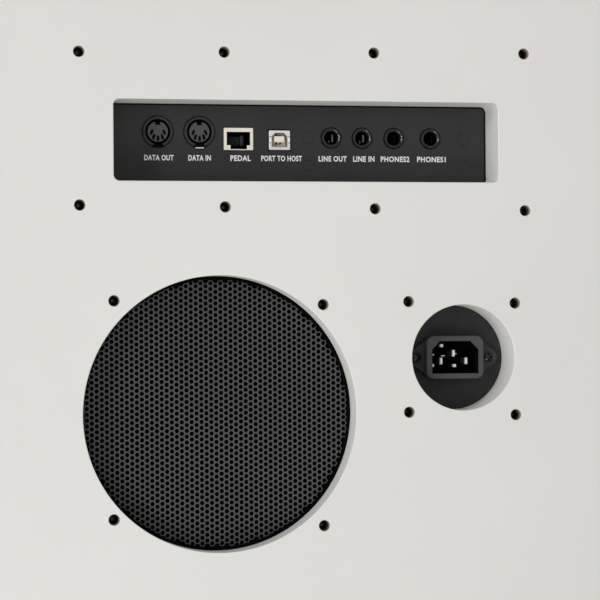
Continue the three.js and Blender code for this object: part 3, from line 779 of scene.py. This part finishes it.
def build_din_slots(node, cx, cz, face):
    """Painted shade: near-black linings in the ring slot, the key and the pin holes, and a black tab (the
    foot) under the collar for the dark slot there.
    """
    block_face = face - 0.45
    ring = turned([(6.7, face - 0.22), (6.7, face - 8.9), (PIN_BLOCK_R + 0.05, face - 8.9),
                   (PIN_BLOCK_R + 0.05, face - 3), (PIN_BLOCK_R + 0.12, face - 3),
                   (PIN_BLOCK_R + 0.12, face - 8.7), (6.62, face - 8.7), (6.62, face - 0.22)],
                  cx, cz, 48, closed=True)
    key = block((cx - 1.4, cx + 1.4), (face - 8.8, face - 1.2),
                (cz + PIN_BLOCK_R - 1.85, cz + PIN_BLOCK_R - 0.35))
    floors = [slab(slot, [], block_face - 0.15, block_face - 3.9, on_back, 0.02)
              for slot in din_pins(cx, cz, 0.83, 0.7)]
    add_shape(f"{node}_slots", merged([ring, key] + floors), "painted_shade_black")
    # A black tab standing for the dark slot under the collar: painted shade.
    foot = [(cx - 2.1, cz - 6.5), (cx + 2.1, cz - 6.5), (cx + 3.3, cz - 8.2), (cx - 3.3, cz - 8.2)]
    tab = slab(polygon(foot), [], face + 0.1, face - 0.3, on_back, 0.04)
    add_shape(f"{node}_foot", tab, "black_cloth")


def build_din_lug():
    """The bare earth lug that shows under the second round socket."""
    cx, cz = nose_centre("din_socket_in")
    face = node_box("din_socket_in")[1].y
    lug = block((cx - 2.2, cx + 2.2), (face + 0.01, face + 0.3), (cz - 8.85, cz - 8.3))
    add_shape("din_socket_in_lug", lug, "socket_steel", bevel=0.08)


def pedal_socket():
    """A moulded frame, open towards the bottom between two corner tabs, with a row of spring wires."""
    node = "pedal_socket"
    low, high = node_box(node)
    cx = (low.x + high.x) / 2
    face = high.y
    left, right, bottom, top = low.x + 1.75, high.x - 1.5, low.z + 0.5, high.z - 2.2
    opening = polygon([
        (left + 1.75, bottom), (right - 2.0, bottom), (right - 2.0, bottom + 2.1), (right, bottom + 2.1),
        (right, top), (left, top), (left, bottom + 2.1), (left + 1.75, bottom + 2.1)])
    outer = rounded_box((low.x, high.x), (low.z, high.z), 0.4, 2)
    shape = slab(outer, [(opening, [(0, face), (0, face - 14)], True)], face, low.y, on_back, 0.25)
    add_shape("pedal_socket_frame", shape, "socket_beige", replaces=(node,))
    # A near-black liner inside the opening: painted shade in the socket's hollow.
    mouth = face - 0.25
    hollow = [(shrunk(opening, 0.14), [(0, mouth), (0, face - 13.6)], True)]
    liner = slab(shrunk(opening, 0.03), hollow, mouth, face - 13.8, on_back, 0.02)
    add_shape("pedal_socket_shade_liner", liner, "painted_shade_black")
    # The spring wires are dark grey instead of steel: painted shade deep in the socket.
    wires = []
    for step in range(8):
        x = cx + 1.7 + (step - 3.5) * 0.72
        wires.append(block((x - 0.12, x + 0.12), (face - 8, face - 6.6), (bottom + 2.2, bottom + 7.2)))
    add_shape("pedal_socket_wires", merged(wires), "pin_grey", bevel=0.04)
    latch = block((cx - 4.1, cx - 1.6), (face - 9, face - 5.5), (bottom + 2.0, bottom + 8.2))
    add_shape("pedal_socket_latch", latch, "moulded_black", bevel=0.9, segments=4)


def polygon(points):
    """An outline that keeps its points whatever the offset."""
    def same(_offset):
        return list(points)
    return same


def shrunk(outline, inset):
    """The same outline with each point drawn in towards the middle by inset along both axes."""
    points = outline(0)
    ca = (min(p[0] for p in points) + max(p[0] for p in points)) / 2
    cb = (min(p[1] for p in points) + max(p[1] for p in points)) / 2
    return polygon([(a - copysign(inset, a - ca), b - copysign(inset, b - cb))
                          for a, b in points])


def chamfered_mouth(cx, cz, half_w, half_h, chamfer):
    """A rectangle with its two upper corners cut off."""
    return polygon([
        (cx - half_w, cz - half_h), (cx + half_w, cz - half_h), (cx + half_w, cz + half_h - chamfer),
        (cx + half_w - chamfer, cz + half_h), (cx - half_w + chamfer, cz + half_h),
        (cx - half_w, cz + half_h - chamfer)])


def host_socket():
    """A tinned shell, a moulded sleeve with a chamfered mouth in painted-shade brown, and the tongue."""
    node = "host_socket"
    low, high = node_box(node)
    cx, cz = (low.x + high.x) / 2, (low.z + high.z) / 2 + 0.1
    face = high.y
    outer = rounded_box((low.x + 0.15, high.x - 0.3), (low.z + 0.15, high.z - 0.3), 0.4, 3)
    mouth = chamfered_mouth(cx, cz, 4.3, 3.8, 1.9)
    shape = slab(outer, [(mouth, [(0.2, face), (0, face - 0.25), (0, face - 11)], True)],
                 face, low.y, on_back, 0.25)
    add_shape("host_socket_shell", shape, "socket_steel", replaces=(node,))
    # The sleeve's brown is the beige moulding with painted shade.
    hollow = [(chamfered_mouth(cx, cz, 3.85, 3.35, 1.7), [(0, face - 0.5), (0, face - 8.5)], True)]
    sleeve = slab(chamfered_mouth(cx, cz, 4.25, 3.75, 1.87), hollow, face - 0.5, face - 10.8, on_back, 0.02)
    add_shape("host_socket_sleeve", sleeve, "socket_beige_painted_shade")
    wall = slab(chamfered_mouth(cx, cz, 3.8, 3.3, 1.67), [], face - 3.4, face - 8.4, on_back, 0.02)
    add_shape("host_socket_wall", wall, "socket_beige")
    tongue = block((cx - 2.75, cx + 2.75), (face - 3.3, face - 0.9), (cz - 1.1, cz + 2.0))
    add_shape("host_socket_tongue", tongue, "tongue_ivory", bevel=0.2)
    build_host_contacts(low, high, cx, cz)


def build_host_contacts(low, high, cx, cz):
    """Painted shade: near-black marks round the tongue for the dark contact holes, and on the shell's two
    sides for the slits by the springs; then the springs there.
    """
    face = high.y
    dark = []
    for dx in (-0.75, 1.35):
        for z in (cz + 2.45, cz - 1.9):
            x = cx + dx
            dark.append(block((x - 0.5, x + 0.5), (face - 3.3, face - 2.6), (z - 0.38, z + 0.38)))
    edges = ((high.x - 1.5, high.x - 0.3), (low.x + 0.15, low.x + 1.3))
    for a in edges:
        for z in (cz - 1.65, cz + 1.65):
            dark.append(block(a, (face - 0.2, face + 0.03), (z - 0.16, z + 0.16)))
    add_shape("host_socket_shade_marks", merged(dark), "painted_shade_black", bevel=0.05)
    springs = [block((a[0] + 0.15, a[1] - 0.1), (face - 0.1, face + 0.12), (cz - 1.35, cz + 1.35))
               for a in edges]
    add_shape("host_socket_springs", merged(springs), "mark_white", bevel=0.1)


def jack_nose(node):
    """A jack's collar: a raised ring, a glossy cone and the deep bore."""
    cx, cz = nose_centre(node)
    low, high = node_box(node)
    face = high.y
    collar = turned([(5.4, face - 4), (5.4, face - 0.55), (5.2, face - 0.1), (4.85, face), (4.6, face - 0.02),
                     (4.48, face - 0.08), (3.84, face - 0.47), (3.7, face - 0.65), (3.6, face - 1.5),
                     (3.6, face - 22), (0.01, face - 22), (0.01, face - 23.5), (4.6, face - 23.5),
                     (4.6, face - 4)], cx, cz, 56)
    add_shape(f"{node}_collar", collar, "jack_black", replaces=(node,), flat_angle=40)
    hole = circle(cx, cz, 5.0, 32)
    back = TRAY_LOW.y - GAP
    outline = rounded_box((low.x, high.x), (low.z, high.z), 0.6, 2)
    body = slab(outline, [(hole, [(0, back), (0, low.y + 1)], True)], back, low.y, on_back, 0.4)
    add_shape(f"{node}_body", body, "moulded_black")
    # The phones jacks' springs are near-black: painted shade deep in the bore; the line jacks' springs are
    # dark grey.
    blade = block((cx - 1.3, cx - 0.7), (face - 8, face - 1.9), (cz - 2.0, cz + 1.9))
    spring = block((cx + 0.5, cx + 1.1), (face - 9, face - 3), (cz - 2.6, cz - 1.2))
    add_shape(f"{node}_springs", merged([blade, spring]),
              "chassis_grey" if node.startswith("line") else "painted_shade_black", bevel=0.12)


# Each label: the socket over it, its words, how wide they are, and how far they stand to its -X.
LABELS = (
    ("din_socket_out", "DATA OUT", 15.9, 0.6),
    ("din_socket_in", "DATA IN", 12.2, 0.1),
    ("pedal_socket", "PEDAL", 11.1, 1.1),
    ("host_socket", "PORT TO HOST", 22.4, 1.2),
    ("line_out_jack", "LINE OUT", 15.6, 0.8),
    ("line_in_jack", "LINE IN", 11.9, 0.9),
    ("phones_jack_2", "PHONES2", 16.1, 0.7),
    ("phones_jack_1", "PHONES1", 16.1, 0.6),
)
LABEL_HEIGHT = 3.05
LABEL_DROP = 11.3


def build_labels():
    """Plain function words under the sockets, printed on the tray."""
    _, jack_z = nose_centre("line_out_jack")
    baseline = jack_z - LABEL_DROP - LABEL_HEIGHT / 2
    for node, words, width, shift in LABELS:
        curve = bpy.data.curves.new(f"label_{node}", "FONT")
        curve.body = words
        curve.align_x = "CENTER"
        curve.offset = 0.032
        curve.space_character = 1.1
        curve.extrude = 0.004
        curve.resolution_u = 3
        text = bpy.data.objects.new(f"label_{node}", curve)
        bpy.context.collection.objects.link(text)
        bpy.context.view_layer.update()
        mesh = bpy.data.meshes.new_from_object(text)
        bpy.data.objects.remove(text)
        xs = [vertex.co.x for vertex in mesh.vertices]
        ys = [vertex.co.y for vertex in mesh.vertices]
        scale_x = width / (max(xs) - min(xs))
        scale_y = LABEL_HEIGHT / (max(ys) - min(ys))
        middle = (max(xs) + min(xs)) / 2
        cx = nose_centre(node)[0] - shift
        floor_y = min(ys)
        for vertex in mesh.vertices:
            x, y, z = vertex.co
            vertex.co = Vector((cx - (x - middle) * scale_x, TRAY_Y + 0.03 + z * 5,
                                baseline + (y - floor_y) * scale_y)) * MM
        body = bmesh.new()
        body.from_mesh(mesh)
        store(body, mesh, 0, 1, 30, 30)
        add_piece(f"label_{node}", mesh, "mark_white")


build_tray()
din_socket("din_socket_out")
din_socket("din_socket_in")
build_din_lug()
pedal_socket()
host_socket()
for jack in JACKS:
    jack_nose(jack)
build_labels()


# ---- Mains inlet ----

# Where each contact stands from the inlet's middle; then the cream patches of painted highlight inside the
# cavity, each with where it stands and its half sizes.
INLET_BLADES = ((-7, -2), (7, -2), (0, 2.2))
INLET_GLINT_PATCHES = ((6.3, 6.4, 0.8, 0.8), (-0.9, -4.6, 0.8, 0.8), (11.2, -4.4, 0.5, 0.8),
               (5.6, 0.8, 0.9, 0.25), (11.2, 1.4, 0.5, 0.3), (-1.2, 1.9, 0.8, 0.2))
INLET_CAVITY = (13.0, 8.8, 4.5)


def around_inlet(half_w, half_h):
    """The two spans of a rectangle about the inlet's middle."""
    return (INLET.x - half_w, INLET.x + half_w), (INLET.z - half_h, INLET.z + half_h)


def build_inlet_plate():
    low, high = node_box("inlet_plate")
    neck = polygon(corner_points(*around_inlet(14.6, 10.5)))
    outer = rounded_box((low.x, high.x), (low.z, high.z), 3)
    plate = slab(outer, [(neck, [(0, high.y), (0, low.y)], False)], high.y, low.y, on_back, 0.3)
    add_shape("inlet_plate_sheet", plate, "black_steel", replaces=("inlet_plate",))


def build_inlet_shroud(cavity, base, front):
    """The moulded frame that stands out of the plate, and a near-black lining in its cavity as painted shade.
    """
    foot = base + 0.1
    shroud = slab(rounded_box(*around_inlet(16, 11.7), 4), [(cavity, [(0, front), (0, foot)], False)],
                  front, foot, on_back, 0.6)
    add_shape("inlet_shroud", shroud, "inlet_grey", replaces=("mains_inlet",))
    lining = [(shrunk(cavity, 0.15), [(0, front - 0.3), (0, front - 15.6)], True)]
    liner = slab(shrunk(cavity, 0.03), lining, front - 0.3, front - 15.9, on_back, 0.02)
    add_shape("inlet_cavity_shade", liner, "painted_shade_black")


def build_inlet_neck(cavity, top, front, rear):
    """The body behind the plate, with a pocket for the cavity's lining."""
    outline = rounded_box(*around_inlet(14.2, 10.1), 0.8, 2)
    pocket = [(shrunk(cavity, -0.1), [(0, top), (0, max(front - 16.2, rear + 1))], True)]
    add_shape("inlet_neck", slab(outline, pocket, top, rear, on_back, 0.3), "moulded_black")


def build_inlet_contacts(front):
    blades = []
    shanks = []
    for dx, dz in INLET_BLADES:
        x, z = INLET.x + dx, INLET.z + dz
        blades.append(blade(x, z, front - 4.6, front - 3.2))
        shanks.append(block((x - 0.7, x + 0.7), (front - 15.5, front - 4.62), (z - 1.8, z + 1.8)))
    add_shape("inlet_blades", merged(blades), "socket_steel", bevel=0.12)
    add_shape("inlet_shanks", merged(shanks), "moulded_black", bevel=0.12)
    # Small cream patches deep in the cavity: painted highlights.
    glint_patches = []
    for dx, dz, half_w, half_h in INLET_GLINT_PATCHES:
        x, z = INLET.x + dx, INLET.z + dz
        glint_patches.append(block((x - half_w, x + half_w), (front - 8, front - 5), (z - half_h, z + half_h)))
    add_shape("inlet_glint_patches", merged(glint_patches), "tongue_ivory", bevel=0.1)


def build_inlet():
    low, high = node_box("mains_inlet")
    base = node_box("inlet_plate")[1].y + GAP
    cavity = chamfered_mouth(INLET.x, INLET.z, *INLET_CAVITY)
    build_inlet_plate()
    build_inlet_shroud(cavity, base, high.y)
    build_inlet_ears(base)
    build_inlet_neck(cavity, base - 0.1, high.y, low.y)
    build_inlet_contacts(high.y)


def blade(x, z, rear, front):
    """A flat contact with a chamfered tip."""
    rings = []
    for y, half_w, half_h in ((rear, 0.8, 1.9), (front - 1.0, 0.8, 1.9), (front, 0.55, 1.5)):
        corners = corner_points((x - half_w, x + half_w), (z - half_h, z + half_h))
        rings.append([(a, y, b) for a, b in corners])
    return lofted(rings)


def build_inlet_ears(base):
    """Two tapered ears, each with a sunk screw."""
    thickness = 3
    ear_r = 4.6
    reach = 20.2
    steps = 14
    shapes = []
    heads = []
    for side in (-1, 1):
        points = [(INLET.x + side * 14, INLET.z - 10.4)]
        for step in range(steps + 1):
            angle = -1.05 + 2.1 * step / steps
            points.append((INLET.x + side * (reach + ear_r * cos(angle)), INLET.z + ear_r * sin(angle)))
        points.append((INLET.x + side * 14, INLET.z + 10.4))
        ear = polygon(points)
        centre = (INLET.x + side * reach, INLET.z)
        sink = [(1.3, base + thickness), (-0.9, base + 0.9), (-0.9, base + 0.3)]
        hole = (circle(*centre, 2.2, 28), sink, True)
        shapes.append(slab(ear, [hole], base + thickness, base, on_back, 0.02))
        heads.append(screw_head(*centre, base + thickness - 0.5, 2.75))
    add_shape("inlet_ears", merged(shapes), "moulded_black", bevel=0.3)
    add_shape("inlet_ear_screws", merged(heads), "jack_black")


build_inlet()


# ---- Cabinet and stand boards ----

def build_boards():
    for board in ("case_side_left", "case_side_right", "case_bottom", "case_top", "upper_panel", "key_slip",
                  "cheek_left", "cheek_right", "stand_side_left", "stand_side_right", "stand_foot_left",
                  "stand_foot_right", "stand_back_panel", "pedal_box"):
        softened(board)
    softened("control_panel", bevel=0.6, segments=2)
    softened("fallboard", "fallboard", bevel=1.0)
    low, high = node_box("fallboard")
    felt = block((low.x + 4, high.x - 4), (low.y + 2, low.y + 9), (low.z - 4.6, low.z - 0.05))
    add_shape("name_felt", felt, "red_felt", "fallboard", bevel=0.8)


build_boards()


# ---- Music rest ----

REST_LEAN = radians(20)
REST_AXIS = (35, 957)
REST_THICKNESS = 9


def on_rest(x, up, depth):
    """Music rest coordinates: up the desk, and depth towards the back."""
    y = depth * cos(REST_LEAN) + up * sin(REST_LEAN)
    z = up * cos(REST_LEAN) - depth * sin(REST_LEAN)
    return (x, REST_AXIS[0] + y, REST_AXIS[1] + z)


def build_music_rest():
    low, high = node_box("music_rest")
    half = REST_THICKNESS / 2
    desk = slab(rounded_box((low.x, high.x), (-4, 188), 16, 10), [], half, -half, on_rest, 2.0)
    add_shape("music_rest_desk", desk, "cabinet_white", "music_rest", ("music_rest",))
    profile = ((-24.5, -4), (-half - 0.05, -4), (-half - 0.05, 4), (-22.3, 4), (-22.3, 8), (-24.5, 8))
    ledge = lofted([on_rest(x, up, depth) for depth, up in profile] for x in (low.x, high.x))
    add_shape("music_rest_ledge", ledge, "cabinet_white", "music_rest", bevel=0.7, segments=3)
    pads = []
    for side in (-1, 1):
        outline = rounded_box((side * 120 - 70, side * 120 + 70), (34, 37.5), 1.7, 5)
        pads.append(slab(outline, [], -half, -half - 0.8, on_rest, 0.35))
    add_shape("music_rest_pads", merged(pads), "moulded_black", "music_rest")
    build_rest_hinges()


def build_rest_hinges():
    """Low hinge leaves on the lid, under the music rest."""
    lid = node_box("case_top")[1].z
    leaves = []
    screws = []
    for x in (-230, 230):
        outline = rounded_box((x - 24, x + 24), (26, 50), 2.5, 5)
        leaves.append(slab(outline, [], lid + 1.2, lid + 0.02, on_top, 0.4))
        for dx in (-16, 16):
            screws.append(dome(x + dx, 44, lid + 1.15, 2.6, 0.55))
    add_shape("rest_hinge_leaves", merged(leaves), "black_steel")
    add_shape("rest_hinge_screws", merged(screws), "socket_steel")


def dome(x, y, base, radius, height):
    """A low round head on a flat surface."""
    count = 24
    rings = []
    for share_r, share_z in ((1, -0.2), (1, 0.25), (0.85, 0.65), (0.55, 0.92), (0.2, 1)):
        level = base + height * share_z
        rings.append([(a, b, level) for a, b in round_points(x, y, radius * share_r, count)])
    return lofted(rings)


build_music_rest()


# ---- Keyboard ----

MIDDLE_C = 23
NATURALS = 52
FIRST_OCTAVE = 2
NATURAL_LETTERS = "cdefgab"
SHARP_SHIFT = {"c": -1.9, "d": 1.9, "f": -2.7, "g": 0.0, "a": 2.7}
SHARP_HALF = 5.5
SHARP_SLOT_HALF = 6.3
KEY_LOW, KEY_HIGH = node_box("bass_keys")
KEY_C4 = node_box("key_c4")
SHARP_LOW, SHARP_HIGH = node_box("key_c4_sharp")
KEY_PITCH = (node_box("key_b4")[0].x - KEY_C4[0].x) / 6
KEY_GAP = KEY_PITCH - (KEY_C4[1].x - KEY_C4[0].x)
KEYBOARD_LEFT = KEY_LOW.x - KEY_GAP / 2


def letter(index):
    return NATURAL_LETTERS[(index - FIRST_OCTAVE) % 7]


def sharp_centre(index):
    """The middle of the sharp right of a natural, or None where there is none."""
    if not 0 <= index < NATURALS - 1 or letter(index) not in SHARP_SHIFT:
        return None
    return KEYBOARD_LEFT + (index + 1) * KEY_PITCH + SHARP_SHIFT[letter(index)]


def natural_key(index):
    """One natural: notched beside its sharps, with a lip over its front face."""
    left = KEYBOARD_LEFT + index * KEY_PITCH + KEY_GAP / 2
    right = left + KEY_PITCH - KEY_GAP
    notch = SHARP_LOW.y - 1.5
    rear = KEY_C4[1].y
    front = KEY_C4[0].y
    after, before = sharp_centre(index), sharp_centre(index - 1)
    rear_right = right if after is None else after - SHARP_SLOT_HALF
    rear_left = left if before is None else before + SHARP_SLOT_HALF
    top = KEY_C4[1].z
    rings = []
    for z, set_back in ((KEY_C4[0].z, 1.1), (top - 3.4, 1.1), (top - 3.0, 0.0), (top, 0.0)):
        rings.append([(left, front + set_back, z), (right, front + set_back, z), (right, notch, z),
                      (rear_right, notch + 0.4, z), (rear_right, rear, z), (rear_left, rear, z),
                      (rear_left, notch + 0.4, z), (left, notch, z)])
    if after is None:
        rings = [ring[:2] + ring[4:] for ring in rings]
    if before is None:
        rings = [ring[:-2] for ring in rings]
    return lofted(rings)


def sharp_key(index):
    """One sharp: narrower at the top, sloped at the front, with a low tail under the panel."""
    centre = sharp_centre(index)
    top, low = SHARP_HIGH.z, SHARP_LOW.z
    tail = KEY_C4[1].z
    front = SHARP_LOW.y
    console = node_box("control_panel")[0].y
    profile = ((front, low), (KEY_C4[1].y, low), (KEY_C4[1].y, tail), (console, tail), (console, top),
               (front + 9, top), (front + 4, top - 1.6), (front + 0.4, tail + 1))
    rings = []
    for side in (-1, 1):
        ring = []
        for y, z in profile:
            lean = 0.95 * max(0, (z - tail) / (top - tail))
            ring.append((centre + side * (SHARP_HALF - lean), y, z))
        rings.append(ring)
    return lofted(rings)


def add_key(name, shape, slot, body, replaces=()):
    bevel = 0.55 if slot == "key_ivory" else 0.9
    add_shape(name, shape, slot, body, replaces, bevel=bevel, segments=3, bevel_angle=20)


def build_keyboard():
    banks = (("bass_keys", range(0, MIDDLE_C)), ("treble_keys", range(MIDDLE_C + 7, NATURALS)))
    for body, indexes in banks:
        naturals = merged([natural_key(index) for index in indexes])
        last = indexes[-1]
        sharps = merged([sharp_key(i) for i in indexes if i != last and sharp_centre(i) is not None])
        add_key(f"{body}_naturals", naturals, "key_ivory", body, (body,))
        add_key(f"{body}_sharps", sharps, "key_ebony", body)
    for step in range(7):
        index = MIDDLE_C + step
        name = f"key_{letter(index)}4"
        add_key(f"{name}_cover", natural_key(index), "key_ivory", name, (name,))
        if sharp_centre(index) is not None:
            add_key(f"{name}_sharp_cover", sharp_key(index), "key_ebony", f"{name}_sharp", (f"{name}_sharp",))


build_keyboard()


# ---- Knob, buttons and their marks ----

def turned_z(profile, cx, cy, count, flutes, depth, fluted):
    """(radius, z) points turned about an upright axis; the fluted rows get grip grooves."""
    rings = []
    for row, (radius, z) in enumerate(profile):
        ring = []
        for i in range(count):
            angle = 2 * pi * i / count
            groove = depth * (0.5 - 0.5 * cos(flutes * angle)) if row in fluted else 0
            reach = radius - groove
            ring.append((cx + reach * cos(angle), cy + reach * sin(angle), z))
        rings.append(ring)
    return lofted(rings)


def build_knob():
    low, high = node_box("volume_knob")
    cx, cy = (low.x + high.x) / 2, (low.y + high.y) / 2
    top = high.z
    panel = node_box("control_panel")[1].z
    profile = [(2.9, low.z), (2.9, panel + 0.5), (12.8, panel + 0.5), (13.0, panel + 0.9),
               (13.0, panel + 2.2), (12.2, panel + 3.0), (11.4, panel + 4.0), (10.7, top - 2.0),
               (10.3, top - 1.0), (9.4, top - 0.35), (8.4, top - 0.25), (7.8, top - 0.6), (0.01, top - 0.6)]
    knob = turned_z(profile, cx, cy, 144, 24, 0.55, (6, 7))
    add_shape("volume_knob_cap", knob, "moulded_black", "volume_knob", ("volume_knob",), flat_angle=50)
    pointer = block((cx - 0.45, cx + 0.45), (cy + 2.6, cy + 7.6), (top - 0.62, top - 0.3))
    add_shape("volume_knob_pointer", pointer, "mark_white", "volume_knob", bevel=0.12)
    ticks = []
    for step in range(11):
        angle = radians(90 + 140 - 28 * step)
        reach = 19.5 if step % 5 == 0 else 18.3
        ticks.append(tick(cx, cy, angle, 16.4, reach, panel))
    add_shape("volume_ticks", merged(ticks), "chassis_grey")


def tick(cx, cy, angle, inner, outer, base):
    """A printed dash that points away from the knob."""
    along = (cos(angle), sin(angle))
    side = (-along[1] * 0.3, along[0] * 0.3)
    rings = []
    for z in (base + 0.005, base + 0.06):
        ring = []
        for reach, way in ((inner, -1), (outer, -1), (outer, 1), (inner, 1)):
            ring.append((cx + along[0] * reach + way * side[0], cy + along[1] * reach + way * side[1], z))
        rings.append(ring)
    return lofted(rings)


def build_buttons():
    panel = node_box("control_panel")[1].z
    lamps = []
    for node in ("power_button", "function_button_1", "function_button_2"):
        low, high = node_box(node)
        cap = slab(rounded_box((low.x, high.x), (low.y, high.y), 1.6, 6), [], high.z, low.z, on_top, 0.7)
        add_shape(f"{node}_cap", cap, "moulded_black", node, (node,))
        lamps.append(dome((low.x + high.x) / 2, high.y + 5.5, panel, 1.1, 0.35))
    add_shape("button_lamps", merged(lamps), "red_lens")


build_knob()
build_buttons()


# ---- Pedals and the foot of the pedal box ----

def pedal_outline(node):
    """A lever that widens into a round tread, in plan."""
    low, high = node_box(node)
    x = (low.x + high.x) / 2
    arm, tread = 8, (high.x - low.x) / 2
    neck = []
    for step in range(13):
        t = step / 12
        y = (1 - t) ** 2 * 52 + 2 * t * (1 - t) * 26 + t * t * (low.y + tread + 4)
        half = (1 - t) ** 2 * arm + 2 * t * (1 - t) * arm + t * t * tread
        neck.append((half, y))
    tip = []
    for step in range(1, 24):
        angle = pi * step / 24
        tip.append((x - tread * cos(angle), low.y + tread - tread * sin(angle)))
    left = [(x - half, y) for half, y in neck]
    right = [(x + half, y) for half, y in reversed(neck)]
    return [(x + arm, high.y), (x - arm, high.y)] + left + tip + right


def build_pedals():
    for node in ("pedal_left", "pedal_middle", "pedal_right"):
        low, high = node_box(node)
        points = pedal_outline(node)
        shape = lofted([(a, b, z) for a, b in points] for z in (low.z, high.z))
        add_shape(f"{node}_lever", shape, "pedal_brass", node, (node,), bevel=2.0, segments=4,
                  bevel_angle=40)


def build_adjuster():
    low, high = node_box("pedal_box_adjuster")
    cx, cy = (low.x + high.x) / 2, (low.y + high.y) / 2
    profile = [(14.2, 0.0), (15.2, 0.8), (16, 2.6), (16, 9.2), (15.2, 10.2), (11.5, 12), (4.5, 12),
               (4.3, 13), (4.3, high.z - 1), (3.6, high.z)]
    foot = turned_z(profile, cx, cy, 120, 30, 0.6, (2, 3))
    add_shape("pedal_box_foot", foot, "moulded_black", "pedal_box_adjuster", ("pedal_box_adjuster",),
              flat_angle=50)


build_pedals()
build_adjuster()


# ---- Looks for the CAD nodes that are kept ----

for node, look in SLOT_OF.items():
    kept = frame["nodes"][node]
    kept.data.materials.clear()
    kept.data.materials.append(LOOKS[look])


# ---- Floor, light and background ----

def area_light(name, place, target, size, power, spread=180):
    """A soft round lamp aimed at target; spread narrows its beam."""
    data = bpy.data.lights.new(name, "AREA")
    data.shape = "DISK"
    data.size = size
    data.energy = power
    data.spread = radians(spread)
    light = bpy.data.objects.new(name, data)
    light.location = place
    light.rotation_euler = (Vector(target) - Vector(place)).to_track_quat("-Z", "Y").to_euler()
    light.visible_camera = False
    bpy.context.collection.objects.link(light)


def build_stage():
    floor_mesh = bpy.data.meshes.new("floor")
    reach = 30
    level = -0.0005
    corners = corner_points((-reach, reach), (-reach, reach))
    floor_mesh.from_pydata([(x, y, level) for x, y in corners], [], [(0, 1, 2, 3)])
    floor = bpy.data.objects.new("floor", floor_mesh)
    bpy.context.collection.objects.link(floor)
    floor_mesh.materials.append(finish_look((0.72, 0.71, 0.70), 0.8, spread=0.015, patch=2,
                                            grain=300, strength=0.1))
    world = bpy.data.worlds.new("studio")
    world.use_nodes = True
    background = world.node_tree.nodes["Background"]
    background.inputs["Color"].default_value = (1.0, 0.995, 0.985, 1)
    background.inputs["Strength"].default_value = 0.54
    bpy.context.scene.world = world
    area_light("back_key", (4.0, 2.9, 2.1), (0.35, 0.2, 0.75), 2.4, 66)
    area_light("back_low", (0.6, 1.0, 0.1), (0.35, 0.2, 0.85), 0.6, 0.85, 80)
    area_light("back_glint", (2.7, 2.3, 0.4), (0.35, 0.2, 0.85), 0.04, 0.9, 50)
    area_light("front_key", (3.0, -3.2, 3.2), (0, 0, 0.6), 1.6, 100)
    area_light("front_fill", (-3.2, -2.2, 1.4), (0, 0, 0.6), 2.2, 16)


build_stage()
bpy.context.scene.view_settings.view_transform = "Standard"
